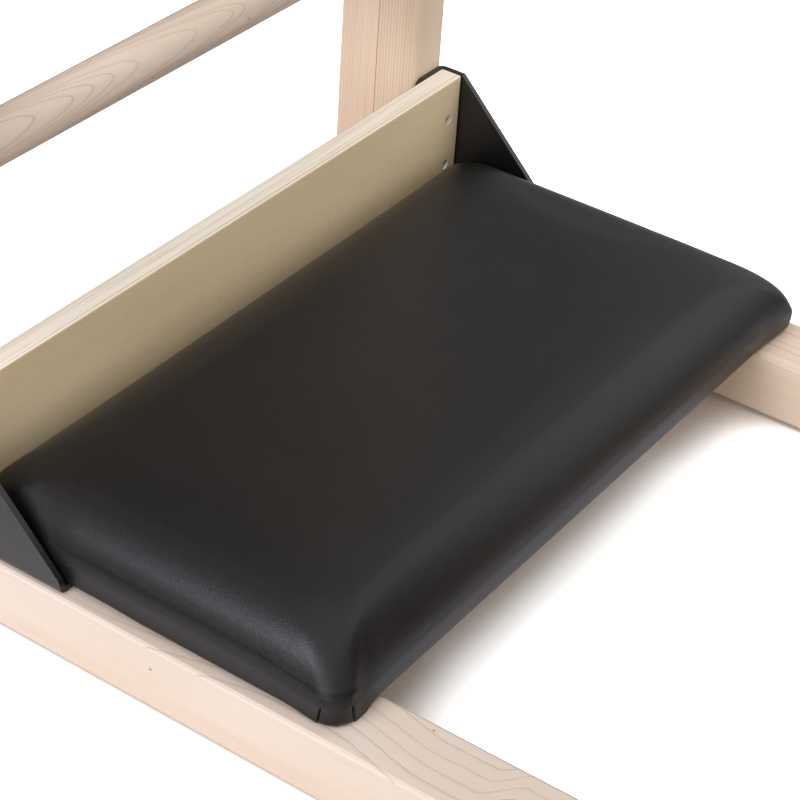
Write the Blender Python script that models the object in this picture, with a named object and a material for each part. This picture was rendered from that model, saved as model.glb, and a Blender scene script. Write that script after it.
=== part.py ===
"""Pilates ladder barrel: two base rails, a ladder with a padded foot platform, and a
padded barrel that slides along the rails and is clamped by two knobs.

Metres, +Z up, +X across, +Y along the rails towards the ladder. The origin is on the
floor under the middle of the rails.
"""

import math

import bmesh
import bpy
from mathutils import Matrix, Vector

# Fits
GAP = 0.0003                  # between two pieces that touch
SCREW_PLAY = 0.0003           # round a screw in its hole
SLOT_PLAY = 0.0008            # above and below the clamp stud in its slot
GUIDE_PLAY = 0.003            # between a runner's tongue and the rail beside it

# Base rails and the feet under them
RAIL_WIDTH = 0.064
RAIL_HEIGHT = 0.0565
RAIL_EASE = 0.003
FOOT_THICKNESS = 0.003
FOOT_RADIUS = 0.018
FOOT_PEG_RADIUS = 0.005
FOOT_PEG_LENGTH = 0.012
FOOT_END_DISTANCE = 0.035     # from a rail's end to the middle of its foot
RUBBER_CHAMFER = 0.001        # of the feet and the platform's bumpers

# Stretchers that tie the rails together
STRETCHER_WIDTH = 0.045
STRETCHER_HEIGHT = 0.040
TENON_LENGTH = 0.020
TENON_SHOULDER = 0.008
TIMBER_EASE = 0.002
LADDER_STRETCHER_SETBACK = 0.020    # behind the uprights' front faces
STEP_STRETCHER_SETBACK = 0.245      # in front of the kick board
END_STRETCHER_SETBACK = 0.0005      # from the barrel end of the rails
END_STRETCHER_ROOM = 0.0569         # from the runners, when the barrel is at that end

# Ladder
UPRIGHT_WIDTH = 0.043
UPRIGHT_DEPTH = 0.082
UPRIGHT_ABOVE_RUNGS = 0.0966  # from the top rung's middle
UPRIGHT_INSET = 0.0035        # from the rail's outer face
UPRIGHT_TOP_RADIUS = 0.022
REAR_OVERHANG = 0.010         # of the rails behind the uprights
RUNG_COUNT = 4
RUNG_RADIUS = 0.020
RUNG_PITCH = 0.180
FIRST_RUNG_RISE = 0.2537      # above the rails
RUNG_TENON_RADIUS = 0.0125
RUNG_TENON_LENGTH = 0.025
RUNG_CHAMFER = 0.0015
RUNG_SEGMENTS = 20

# Bent steel brackets of the foot platform
PLATE = 0.005
BRACKET_INSET = 0.0029        # from the rail's outer face
BRACKET_REACH = 0.108         # forward of the kick board's face
BRACKET_RISE = 0.118          # above the bottom flange
BRACKET_NOSE_RADIUS = 0.010
BRACKET_TOE = 0.001           # of the side plate left standing on the flange at its tip
BACK_FLANGE_WIDTH = 0.042
BACK_FLANGE_CORNER = 0.009
BOTTOM_FLANGE_WIDTH = 0.086
BEND_RADIUS = 0.006           # of a bend's outside
BEND_INSIDE = 0.001
BEND_RELIEF = 0.0015

# Kick board
KICK_THICKNESS = 0.021
KICK_HEIGHT = 0.113
KICK_EASE = 0.0015
KICK_END_PLAY = 0.001         # to each bracket
KICK_SCREW_INSET = 0.0165     # from the board's end
KICK_SCREW_RISE = 0.0285      # of the lower screw
KICK_SCREW_PITCH = 0.046
KICK_COUNTERBORE = 0.007

# Padded foot platform
STEP_SIDE_GAP = 0.0041        # to each bracket
STEP_BACK_GAP = 0.0055        # to the kick board
STEP_DEPTH = 0.345
STEP_CORNER_RADIUS = 0.022
STEP_BAND_HEIGHT = 0.0195
STEP_BAND_EASE = 0.001
STEP_CREASE_HEIGHT = 0.002    # of the drawn-in seam above the band
STEP_ROLL_LIFT = 0.0025       # from the seam to the rolled upper edge
STEP_ROLL_RADIUS = 0.0275
STEP_CROWN = 0.0035
STEP_DRAWN_IN = 0.002
STEP_CROWN_SHARES = (0.2, 0.5, 0.9)     # of the way in from the roll, for its rings
STEP_TOP_CORNER = 0.006       # least corner radius on top
STEP_BOARD_THICKNESS = 0.018
STEP_COVER_THICKNESS = 0.0025
STEP_CORNER_STEPS = 5
BUMPER_RADIUS = 0.010
BUMPER_PEG_RADIUS = 0.004
BUMPER_PEG_LENGTH = 0.008
BUMPER_SETBACK = 0.030        # from the platform's front edge

# Barrel
BARREL_REACH = 0.920          # from the kick board's face to the barrel's middle
BARREL_TRAVEL = 0.180
BARREL_WIDTH = 0.480
BARREL_RADIUS = 0.320         # over the padding
BARREL_PADDING = 0.045
BARREL_CENTRE_RISE = 0.485    # above the rails
BARREL_CROWN = 0.004
BARREL_ROLL_RADIUS = 0.027
BARREL_SIDE_BAND = 0.012
BARREL_DRAWN_IN = 0.003
BARREL_CREASE_HEIGHT = 0.004  # of the drawn-in seam above the side band
BARREL_SHOULDER_SHARE = 0.8   # of the crown, halfway from the middle to the edge
BARREL_END_SHARES = (0.0, 0.12, 0.35, 0.65)   # of the rolled end, for its rings
BARREL_END_SHARE = 0.28       # of the padding's thickness, at the arch's two ends
SHELL_THICKNESS = 0.009
SHELL_DROOP = math.radians(26)      # of the shell's ends below the centre line
SHELL_STEPS = 34              # of the arch, without those of its rolled ends
PANEL_THICKNESS = 0.025
PANEL_WAIST = 0.205
PANEL_FOOT = 0.235            # half the panel's length on the rails
PANEL_FOOT_RISE = 0.050       # straight part above the rails
PANEL_FLOOR_GAP = 0.012
PANEL_FOOT_RADIUS = 0.012
PANEL_SWEEP_PULL = 0.38       # of the sweep's height, for its curve's handles
PANEL_SWEEP_STEPS = 10
GRIP_LENGTH = 0.120
GRIP_HEIGHT = 0.034
GRIP_RISE = 0.455             # above the rails
CROSSBAR_WIDTH = 0.070
CROSSBAR_HEIGHT = 0.028
CROSSBAR_TENON = 0.015
CROSSBAR_SPREAD = 0.150       # of each crossbar from the barrel's middle
CROSSBAR_RISE = 0.095         # above the rails

# Runners under the barrel, with their glides and bolts
RUNNER_TONGUE = 0.0297        # its thickness, beside the rail
RUNNER_HEIGHT = 0.032
RUNNER_LENGTH = 0.450
RUNNER_EDGE_INSET = 0.004     # from the rail's outer face
RUNNER_FLOOR_GAP = 0.010
RUNNER_TOP_CHAMFER = 0.004
GLIDE_THICKNESS = 0.002
GLIDE_MARGIN = 0.006
GLIDE_EASE = 0.0005
RUNNER_BOLT_SPREAD = 0.170
RUNNER_BOLT_RADIUS = 0.003
RUNNER_BOLT_HEAD = 0.0065
RUNNER_BOLT_HEAD_HEIGHT = 0.0035
RUNNER_BOLT_GRIP = 0.030      # length in the runner

# Clamps that hold the barrel where it is put
STUD_RADIUS = 0.004
STUD_CHAMFER = 0.001
STUD_END_PLAY = 0.002         # from the stud's tip to the insert's end
CLAMP_RISE = 0.02825          # of the stud above the rail's underside
INSERT_RADIUS = 0.007
INSERT_LENGTH = 0.022
WASHER_RADIUS = 0.014
WASHER_THICKNESS = 0.0025
KNOB_RADIUS = 0.023
KNOB_HUB_RADIUS = 0.012
KNOB_DEPTH = 0.026
KNOB_NECK = 0.006
KNOB_LOBES = 5
KNOB_LOBE_DEPTH = 0.0035
KNOB_BORE_DEPTH = 0.016
KNOB_FACE_INSET = 0.003       # of both faces' rims from the knob's radius
KNOB_BACK_BEVEL = (0.001, 0.005)        # where the back's rounding starts and ends
KNOB_FRONT_BEVEL = (0.002, 0.007)       # the same from the front face
KNOB_CAP_RADIUS = 0.014

# Fasteners
UPRIGHT_BOLT_RADIUS = 0.004
UPRIGHT_BOLT_HEAD = 0.0065
UPRIGHT_BOLT_HEAD_HEIGHT = 0.008
UPRIGHT_BOLT_SINK = 0.010     # counterbore under the rail
UPRIGHT_BOLT_BITE = 0.055     # length in the upright
WOOD_SCREW_RADIUS = 0.0025
WOOD_SCREW_HEAD = 0.0047
WOOD_SCREW_HEAD_HEIGHT = 0.0035
WOOD_SCREW_BITE = 0.028
SOCKET_SHARE = 0.45           # of a screw head's radius and height, for its socket
BRACKET_SCREW_REACH = 0.028   # of the rear screw, from the kick board's face
BRACKET_SCREW_PITCH = 0.054
STEP_SCREW_REACH = 0.030
STEP_SCREW_PITCH = 0.055
STEP_SCREW_BITE = 0.012
SMALL_SEGMENTS = 10
ROUND_PROFILE = 0.5           # of a bevel

# Places worked out from the sizes above
CLEAR_SPAN = BARREL_WIDTH + 2 * (GAP + RUNNER_TONGUE + GUIDE_PLAY)
LADDER_LENGTH = REAR_OVERHANG + UPRIGHT_DEPTH + 2 * GAP + PLATE + KICK_THICKNESS
RAIL_LENGTH = (LADDER_LENGTH + BARREL_REACH + RUNNER_LENGTH / 2 + END_STRETCHER_ROOM
               + STRETCHER_WIDTH + END_STRETCHER_SETBACK)
RAIL_UNDERSIDE = FOOT_THICKNESS + GAP
RAIL_TOP = RAIL_UNDERSIDE + RAIL_HEIGHT
RAIL_INNER_X = CLEAR_SPAN / 2
RAIL_OUTER_X = RAIL_INNER_X + RAIL_WIDTH
RAIL_MIDDLE_X = RAIL_INNER_X + RAIL_WIDTH / 2
UPRIGHT_OUTER_X = RAIL_OUTER_X - UPRIGHT_INSET
UPRIGHT_INNER_X = UPRIGHT_OUTER_X - UPRIGHT_WIDTH
UPRIGHT_BACK_Y = RAIL_LENGTH / 2 - REAR_OVERHANG
UPRIGHT_FRONT_Y = UPRIGHT_BACK_Y - UPRIGHT_DEPTH
UPRIGHT_BASE = RAIL_TOP + GAP
TOP_RUNG_RISE = FIRST_RUNG_RISE + (RUNG_COUNT - 1) * RUNG_PITCH
UPRIGHT_HEIGHT = TOP_RUNG_RISE + UPRIGHT_ABOVE_RUNGS - GAP
BACK_FLANGE_Y = UPRIGHT_FRONT_Y - GAP - PLATE
KICK_BACK_Y = BACK_FLANGE_Y - GAP
KICK_FRONT_Y = KICK_BACK_Y - KICK_THICKNESS
BRACKET_OUTER_X = RAIL_OUTER_X - BRACKET_INSET
BRACKET_INNER_X = BRACKET_OUTER_X - PLATE
BRACKET_BASE = RAIL_TOP + GAP
FLANGE_TOP = BRACKET_BASE + PLATE
KICK_LENGTH = 2 * (BRACKET_INNER_X - KICK_END_PLAY)
KICK_BASE = FLANGE_TOP + GAP
KICK_SCREW_X = KICK_LENGTH / 2 - KICK_SCREW_INSET
KICK_SCREW_RISES = (KICK_SCREW_RISE, KICK_SCREW_RISE + KICK_SCREW_PITCH)
BRACKET_SCREW_PLACES = (BRACKET_SCREW_REACH, BRACKET_SCREW_REACH + BRACKET_SCREW_PITCH)
STEP_SCREW_PLACES = (STEP_SCREW_REACH, STEP_SCREW_REACH + STEP_SCREW_PITCH)
STEP_BASE_Z = FLANGE_TOP + GAP
STEP_WIDTH = 2 * (BRACKET_INNER_X - STEP_SIDE_GAP)
STEP_MIDDLE_Y = KICK_FRONT_Y - STEP_BACK_GAP - STEP_DEPTH / 2
STEP_FRONT_Y = STEP_MIDDLE_Y - STEP_DEPTH / 2
STEP_EDGE_HEIGHT = (STEP_BAND_HEIGHT + STEP_CREASE_HEIGHT + STEP_ROLL_LIFT
                    + STEP_ROLL_RADIUS)
STEP_SCREW_X = (RAIL_INNER_X + BRACKET_OUTER_X - BOTTOM_FLANGE_WIDTH) / 2
BARREL_Y = KICK_FRONT_Y - BARREL_REACH
SHELL_OUTER = BARREL_RADIUS - BARREL_PADDING - BARREL_CROWN
SHELL_INNER = SHELL_OUTER - SHELL_THICKNESS
PANEL_OUTER_X = BARREL_WIDTH / 2
PANEL_INNER_X = PANEL_OUTER_X - PANEL_THICKNESS
RUNNER_BASE = GAP + GLIDE_THICKNESS + GAP
TONGUE_OUTER_X = RAIL_INNER_X - GUIDE_PLAY
CLAMP_DROP = RAIL_HEIGHT - CLAMP_RISE


def paint(name, red, green, blue, roughness, metallic=0.0):
    """A Principled material whose colour is given in 0-255 display values."""
    material = bpy.data.materials.new(name)
    material.use_nodes = True
    shader = material.node_tree.nodes["Principled BSDF"]
    linear = [((level / 255 + 0.055) / 1.055) ** 2.4 for level in (red, green, blue)]
    shader.inputs["Base Color"].default_value = (*linear, 1.0)
    shader.inputs["Roughness"].default_value = roughness
    shader.inputs["Metallic"].default_value = metallic
    return material


def piece(name, bm, material, place=(0, 0, 0), parent=None, crease=30):
    """Turn a bmesh into a named object at its place."""
    bmesh.ops.recalc_face_normals(bm, faces=bm.faces)
    mesh = bpy.data.meshes.new(name)
    bm.to_mesh(mesh)
    bm.free()
    mesh.shade_smooth()
    mesh.set_sharp_from_angle(angle=math.radians(crease))
    thing = bpy.data.objects.new(name, mesh)
    if material:
        mesh.materials.append(material)
    thing.location = place
    thing.parent = parent
    bpy.context.scene.collection.objects.link(thing)
    return thing


def blend_shape(target, bm, operation, label):
    """Cut a shape out of a piece, or join one to it, both in the piece's own frame."""
    tool = piece(f"{target.name}_{label}", bm, None, parent=target)
    tool.hide_render = True
    tool.display_type = "WIRE"
    boolean = target.modifiers.new(label, "BOOLEAN")
    boolean.operation = operation
    boolean.object = tool
    boolean.solver = "EXACT"


def holder(name, place, parent=None):
    """An empty that carries the pieces which move together."""
    empty = bpy.data.objects.new(name, None)
    empty.location = place
    empty.parent = parent
    bpy.context.scene.collection.objects.link(empty)
    return empty


def loft(bm, rings, closed=False):
    """Join rings of equally many points, capping the ends unless the loft closes."""
    loops = [[bm.verts.new(point) for point in ring] for ring in rings]
    pairs = list(zip(loops, loops[1:]))
    if closed:
        pairs.append((loops[-1], loops[0]))
    for first, second in pairs:
        for i in range(len(first)):
            j = (i + 1) % len(first)
            bm.faces.new((first[i], first[j], second[j], second[i]))
    if not closed:
        bm.faces.new(loops[0])
        bm.faces.new(loops[-1])


def turned(bm, path, segments, place=Matrix(), lobes=0, lobe_depth=0.0, lobe_from=1.0):
    """Turn a path of (radius, height) about Z. It runs from axis to axis."""
    rows = []
    for radius, height in path:
        if radius == 0:
            rows.append([bm.verts.new(place @ Vector((0, 0, height)))])
            continue
        row = []
        for i in range(segments):
            angle = 2 * math.pi * i / segments
            reach = radius
            if lobes and radius > lobe_from:
                reach -= lobe_depth * (0.5 - 0.5 * math.cos(lobes * angle))
            point = Vector((reach * math.cos(angle), reach * math.sin(angle), height))
            row.append(bm.verts.new(place @ point))
        rows.append(row)
    for first, second in zip(rows, rows[1:]):
        for i in range(segments):
            j = (i + 1) % segments
            corners = [first[i % len(first)], first[j % len(first)],
                       second[j % len(second)], second[i % len(second)]]
            bm.faces.new(list(dict.fromkeys(corners)))


def turned_ring(bm, corners, segments, place=Matrix()):
    """Turn a closed outline of (radius, height) about Z, for a piece with a bore."""
    rings = []
    for i in range(segments):
        angle = 2 * math.pi * i / segments
        rings.append([place @ Vector((r * math.cos(angle), r * math.sin(angle), h))
                      for r, h in corners])
    loft(bm, rings, closed=True)


def drill(bm, start, direction, steps, segments=SMALL_SEGMENTS):
    """A round hole's cutter, from its mouth inwards, as steps of (radius, depth)."""
    turn = Vector(direction).to_track_quat("Z", "Y").to_matrix().to_4x4()
    path = [(0, -GAP)]
    depth = -GAP
    for radius, next_depth in steps:
        path += [(radius, depth), (radius, next_depth)]
        depth = next_depth
    turned(bm, path + [(0, depth)], segments, Matrix.Translation(start) @ turn)


def block(bm, low, high, ease=0.0, steps=2):
    """A box between two corners with its edges eased."""
    made = bmesh.ops.create_cube(bm, size=2)["verts"]
    middle = (Vector(high) + Vector(low)) / 2
    half = (Vector(high) - Vector(low)) / 2
    for vert in made:
        vert.co = Vector([middle[i] + vert.co[i] * half[i] for i in range(3)])
    if ease:
        edges = list({edge for vert in made for edge in vert.link_edges})
        bmesh.ops.bevel(bm, geom=edges, offset=ease, segments=steps,
                        profile=ROUND_PROFILE, affect="EDGES")


def prism(bm, outline, near, far, ease=0.0, steps=2):
    """Extrude an outline of (y, z) points along X with the edges of both faces eased."""
    first = [bm.verts.new((near, y, z)) for y, z in outline]
    second = [bm.verts.new((far, y, z)) for y, z in outline]
    caps = [bm.faces.new(first), bm.faces.new(second)]
    for i in range(len(outline)):
        j = (i + 1) % len(outline)
        bm.faces.new((first[i], first[j], second[j], second[i]))
    if ease:
        edges = [edge for cap in caps for edge in cap.edges]
        bmesh.ops.bevel(bm, geom=edges, offset=ease, segments=steps,
                        profile=ROUND_PROFILE, affect="EDGES")


def arc(middle, radius, start, end, steps):
    """Points on an arc, with angles in degrees from the first axis to the second."""
    points = []
    for i in range(steps + 1):
        angle = math.radians(start + (end - start) * i / steps)
        points.append((middle[0] + radius * math.cos(angle),
                       middle[1] + radius * math.sin(angle)))
    return points


def rounded_rectangle(half_a, half_b, radius, steps):
    """An outline round a rectangle, counterclockwise."""
    corners = [(1, 1, 0), (-1, 1, 90), (-1, -1, 180), (1, -1, 270)]
    points = []
    for a, b, start in corners:
        middle = (a * (half_a - radius), b * (half_b - radius))
        points += arc(middle, radius, start, start + 90, steps)
    return points


def chamfered(half_a, half_b, cut):
    """A rectangle's outline with its corners cut off."""
    return rounded_rectangle(half_a, half_b, cut, 1)


def tenoned_bar(bm, length, width, height, tenon):
    """A bar along X, with a tenon on each end, shouldered all round."""
    full = chamfered(width / 2, height / 2, TIMBER_EASE)
    slim = chamfered(width / 2 - TENON_SHOULDER, height / 2 - TENON_SHOULDER, TIMBER_EASE)
    stations = [(-length / 2 - tenon, slim), (-length / 2, slim), (-length / 2, full),
                (length / 2, full), (length / 2, slim), (length / 2 + tenon, slim)]
    loft(bm, [[(x, y, z) for y, z in section] for x, section in stations])


def mortise(bm, mouth_x, side, middle_y, middle_z, width, height, tenon):
    """The cutter for a tenon that enters a face at mouth_x towards side."""
    half_y = width / 2 - TENON_SHOULDER + GAP
    half_z = height / 2 - TENON_SHOULDER + GAP
    ends = sorted((mouth_x - side * GAP, mouth_x + side * (tenon + GAP)))
    block(bm, (ends[0], middle_y - half_y, middle_z - half_z),
          (ends[1], middle_y + half_y, middle_z + half_z))


def socket_screw(bm, place, shank, length, head, head_height):
    """A screw along Z: its head's underside at 0, its shank up, its socket below."""
    socket = head * SOCKET_SHARE
    sunk = -head_height * (1 - SOCKET_SHARE)
    turned(bm, [(0, sunk), (socket, sunk), (socket, -head_height), (head, -head_height),
                (head, 0), (shank, 0), (shank, length - shank), (0, length)],
           SMALL_SEGMENTS, place)


def stretcher_ys():
    """The middle of each stretcher along the rails."""
    half = STRETCHER_WIDTH / 2
    return {
        "ladder_stretcher": UPRIGHT_FRONT_Y + LADDER_STRETCHER_SETBACK + half,
        "step_stretcher": KICK_FRONT_Y - STEP_STRETCHER_SETBACK - half,
        "end_stretcher": -RAIL_LENGTH / 2 + END_STRETCHER_SETBACK + half,
    }


def stretcher_z():
    return RAIL_UNDERSIDE + (RAIL_HEIGHT - STRETCHER_HEIGHT) / 2 + STRETCHER_HEIGHT / 2


def foot_ys():
    reach = RAIL_LENGTH / 2 - FOOT_END_DISTANCE
    return (-reach, reach)


def upright_bolt_y():
    return UPRIGHT_FRONT_Y + UPRIGHT_DEPTH / 2


def upright_middle_x(side):
    return side * (UPRIGHT_INNER_X + UPRIGHT_OUTER_X) / 2


def build_rail(side, label, wood):
    """One base rail. Its own origin is under its middle, on its underside."""
    middle_x = side * RAIL_MIDDLE_X
    bm = bmesh.new()
    block(bm, (-RAIL_WIDTH / 2, -RAIL_LENGTH / 2, 0),
          (RAIL_WIDTH / 2, RAIL_LENGTH / 2, RAIL_HEIGHT), RAIL_EASE)
    rail = piece(f"base_rail_{label}", bm, wood, (middle_x, 0, RAIL_UNDERSIDE))

    cuts = bmesh.new()
    inner_face = -side * RAIL_WIDTH / 2
    for y in stretcher_ys().values():
        mortise(cuts, inner_face, side, y, stretcher_z() - RAIL_UNDERSIDE,
                STRETCHER_WIDTH, STRETCHER_HEIGHT, TENON_LENGTH)
    for y in foot_ys():
        drill(cuts, (0, y, 0), (0, 0, 1),
              [(FOOT_PEG_RADIUS + SCREW_PLAY, FOOT_PEG_LENGTH + GAP)])
    bolt_x = upright_middle_x(side) - middle_x
    drill(cuts, (bolt_x, upright_bolt_y(), 0), (0, 0, 1),
          [(UPRIGHT_BOLT_HEAD + SCREW_PLAY, UPRIGHT_BOLT_SINK),
           (UPRIGHT_BOLT_RADIUS + SCREW_PLAY, RAIL_HEIGHT + GAP)])
    for reach in BRACKET_SCREW_PLACES:
        drill(cuts, (0, KICK_FRONT_Y - reach, RAIL_HEIGHT), (0, 0, -1),
              [(WOOD_SCREW_RADIUS + SCREW_PLAY, WOOD_SCREW_BITE + GAP)])
    blend_shape(rail, cuts, "DIFFERENCE", "holes")

    slot = bmesh.new()
    half_height = STUD_RADIUS + SLOT_PLAY
    middle = (BARREL_Y + BARREL_TRAVEL / 2, CLAMP_RISE)
    outline = [(middle[0] + a, middle[1] + b) for a, b in
               rounded_rectangle(BARREL_TRAVEL / 2 + half_height, half_height,
                                 half_height - GAP, 4)]
    prism(slot, outline, -RAIL_WIDTH, RAIL_WIDTH)
    blend_shape(rail, slot, "DIFFERENCE", "clamp_slot")


def build_foot(side, label, y, end, rubber):
    bm = bmesh.new()
    radius = FOOT_RADIUS
    turned(bm, [(0, 0), (radius - RUBBER_CHAMFER, 0), (radius, RUBBER_CHAMFER),
                (radius, FOOT_THICKNESS),
                (FOOT_PEG_RADIUS, FOOT_THICKNESS),
                (FOOT_PEG_RADIUS, FOOT_THICKNESS + FOOT_PEG_LENGTH),
                (0, FOOT_THICKNESS + FOOT_PEG_LENGTH)], 20)
    piece(f"foot_{end}_{label}", bm, rubber, (side * RAIL_MIDDLE_X, y, 0))


def build_stretchers(wood):
    for name, y in stretcher_ys().items():
        bm = bmesh.new()
        tenoned_bar(bm, CLEAR_SPAN - 2 * GAP, STRETCHER_WIDTH, STRETCHER_HEIGHT,
                    TENON_LENGTH)
        piece(name, bm, wood, (0, y, stretcher_z()))


def rung_z(number):
    return RAIL_TOP + FIRST_RUNG_RISE + (number - 1) * RUNG_PITCH


def build_upright(side, label, wood):
    """A ladder upright. Its own origin is the middle of its foot."""
    half_depth = UPRIGHT_DEPTH / 2
    radius = UPRIGHT_TOP_RADIUS
    outline = [(-half_depth, 0), (half_depth, 0)]
    outline += arc((half_depth - radius, UPRIGHT_HEIGHT - radius), radius, 0, 90, 5)
    outline += arc((radius - half_depth, UPRIGHT_HEIGHT - radius), radius, 90, 180, 5)
    bm = bmesh.new()
    prism(bm, outline, -UPRIGHT_WIDTH / 2, UPRIGHT_WIDTH / 2, RAIL_EASE)
    place = (upright_middle_x(side), upright_bolt_y(), UPRIGHT_BASE)
    upright = piece(f"upright_{label}", bm, wood, place)

    cuts = bmesh.new()
    for number in range(1, RUNG_COUNT + 1):
        drill(cuts, (-side * UPRIGHT_WIDTH / 2, 0, rung_z(number) - UPRIGHT_BASE),
              (side, 0, 0), [(RUNG_TENON_RADIUS + GAP, RUNG_TENON_LENGTH + GAP)],
              RUNG_SEGMENTS)
    drill(cuts, (0, 0, 0), (0, 0, 1),
          [(UPRIGHT_BOLT_RADIUS + SCREW_PLAY, UPRIGHT_BOLT_BITE + GAP)])
    for rise in KICK_SCREW_RISES:
        drill(cuts, (side * KICK_SCREW_X - place[0], -half_depth,
                     KICK_BASE + rise - UPRIGHT_BASE), (0, 1, 0),
              [(WOOD_SCREW_RADIUS + SCREW_PLAY, WOOD_SCREW_BITE + GAP)])
    blend_shape(upright, cuts, "DIFFERENCE", "holes")


def build_rung(number, wood):
    half = UPRIGHT_INNER_X - GAP
    tip = half + RUNG_TENON_LENGTH
    slim = RUNG_TENON_RADIUS
    full = RUNG_RADIUS
    ease = RUNG_CHAMFER
    one_end = [(slim - ease, tip), (slim, tip - ease), (slim, half), (full - ease, half),
               (full, half - ease)]
    path = [(0, -tip)] + [(r, -x) for r, x in one_end]
    path += [(r, x) for r, x in reversed(one_end)] + [(0, tip)]
    bm = bmesh.new()
    turned(bm, path, RUNG_SEGMENTS, Matrix.Rotation(math.pi / 2, 4, "Y"))
    piece(f"rung_{number}", bm, wood, (0, upright_bolt_y(), rung_z(number)))


def build_upright_bolt(side, label, steel):
    bm = bmesh.new()
    grip = RAIL_HEIGHT - UPRIGHT_BOLT_SINK
    socket_screw(bm, Matrix.Translation((0, 0, GAP)), UPRIGHT_BOLT_RADIUS,
                 grip + UPRIGHT_BOLT_BITE - GAP, UPRIGHT_BOLT_HEAD,
                 UPRIGHT_BOLT_HEAD_HEIGHT)
    seat = RAIL_UNDERSIDE + UPRIGHT_BOLT_SINK - 2 * GAP
    piece(f"upright_bolt_{label}", bm, steel,
          (upright_middle_x(side), upright_bolt_y(), seat))


def bent_corner(radius, steps=4):
    """A bend's outer arc in its own quarter, from one leg to the other."""
    return arc((radius, radius), radius, 180, 270, steps)


def bend_outline(leg_a, leg_b, thickness):
    """An angle profile: leg_a runs along the second axis, leg_b along the first."""
    inside = BEND_INSIDE
    outer = bent_corner(BEND_RADIUS)
    inner = [(thickness + inside - inside * math.sin(math.radians(angle)),
              thickness + inside - inside * math.cos(math.radians(angle)))
             for angle in (0, 30, 60, 90)]
    return ([(0, leg_a)] + outer + [(leg_b, 0), (leg_b, thickness)] + inner
            + [(thickness, leg_a)])


def nose_arc(tip, top, radius, steps=4):
    """An arc from straight above the tip into the slope that rises to the top."""
    slope = math.atan2(top[1] - tip[1], top[0] - tip[0])
    middle = (tip[0] + radius, tip[1])
    end = 90 + math.degrees(slope)
    return arc(middle, radius, 180, end, steps)


def build_bracket(side, label, steel):
    """A bent bracket. Its own origin is its outer lower corner at the board's face."""
    back = BACK_FLANGE_Y + PLATE - KICK_FRONT_Y
    plan = bend_outline(back + BRACKET_REACH, BACK_FLANGE_WIDTH, PLATE)
    bm = bmesh.new()
    loft(bm, [[(-side * a, back - b, z) for a, b in plan]
              for z in (BEND_RADIUS, BRACKET_RISE)])
    place = (side * BRACKET_OUTER_X, KICK_FRONT_Y, BRACKET_BASE)
    bracket = piece(f"step_bracket_{label}", bm, steel, place)

    flange = bmesh.new()
    front_view = bend_outline(BEND_RADIUS + PLATE, BOTTOM_FLANGE_WIDTH, PLATE)
    flange_back = back - PLATE - BEND_RELIEF
    loft(flange, [[(-side * a, y, b) for a, b in front_view]
                  for y in (-BRACKET_REACH, flange_back)])
    blend_shape(bracket, flange, "UNION", "bottom_flange")

    trim = bmesh.new()
    far = 2 * BRACKET_REACH
    nose = BRACKET_NOSE_RADIUS
    low = PLATE + BRACKET_TOE
    outline = [(0, BRACKET_RISE), (0, far), (-far, far), (-far, low)]
    outline += nose_arc((-BRACKET_REACH, low), (0, BRACKET_RISE), nose)
    prism(trim, outline, -2 * PLATE, 2 * PLATE)
    corner = BACK_FLANGE_CORNER
    middle = (BACK_FLANGE_WIDTH - corner, BRACKET_RISE - corner)
    rounded = arc(middle, corner, 0, 90, 5)
    square = [(BACK_FLANGE_WIDTH + GAP, middle[1])] + rounded
    square += [(middle[0], BRACKET_RISE + GAP), (BACK_FLANGE_WIDTH + GAP,
                                                 BRACKET_RISE + GAP)]
    loft(trim, [[(-side * a, y, b) for a, b in square]
                for y in (back - 2 * PLATE, back + PLATE)])
    blend_shape(bracket, trim, "DIFFERENCE", "trim")

    holes = bmesh.new()
    for rise in KICK_SCREW_RISES:
        drill(holes, (side * (KICK_SCREW_X - BRACKET_OUTER_X), back - PLATE,
                      KICK_BASE + rise - BRACKET_BASE), (0, 1, 0),
              [(WOOD_SCREW_RADIUS + SCREW_PLAY, PLATE + GAP)])
    for reach in BRACKET_SCREW_PLACES:
        drill(holes, (side * (RAIL_MIDDLE_X - BRACKET_OUTER_X), -reach, PLATE),
              (0, 0, -1), [(WOOD_SCREW_HEAD + SCREW_PLAY, WOOD_SCREW_HEAD_HEIGHT + GAP),
                           (WOOD_SCREW_RADIUS + SCREW_PLAY, PLATE + GAP)])
    for reach in STEP_SCREW_PLACES:
        drill(holes, (side * (STEP_SCREW_X - BRACKET_OUTER_X), -reach, 0), (0, 0, 1),
              [(WOOD_SCREW_RADIUS + SCREW_PLAY, PLATE + GAP)])
    blend_shape(bracket, holes, "DIFFERENCE", "holes")


def build_bracket_screws(side, label, steel):
    """Sunk screws through the bottom flange into the rail."""
    flip = Matrix.Rotation(math.pi, 4, "X")
    for number, reach in enumerate(BRACKET_SCREW_PLACES, 1):
        bm = bmesh.new()
        socket_screw(bm, flip, WOOD_SCREW_RADIUS, WOOD_SCREW_BITE, WOOD_SCREW_HEAD,
                     WOOD_SCREW_HEAD_HEIGHT - GAP)
        piece(f"bracket_screw_{label}_{number}", bm, steel,
              (side * RAIL_MIDDLE_X, KICK_FRONT_Y - reach,
               FLANGE_TOP - WOOD_SCREW_HEAD_HEIGHT))


def build_step_screws(side, label, steel):
    """Screws up through the bottom flange into the platform's board."""
    for number, reach in enumerate(STEP_SCREW_PLACES, 1):
        bm = bmesh.new()
        socket_screw(bm, Matrix(), WOOD_SCREW_RADIUS, PLATE + STEP_SCREW_BITE,
                     WOOD_SCREW_HEAD, WOOD_SCREW_HEAD_HEIGHT)
        piece(f"step_screw_{label}_{number}", bm, steel,
              (side * STEP_SCREW_X, KICK_FRONT_Y - reach, BRACKET_BASE - GAP))


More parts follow.
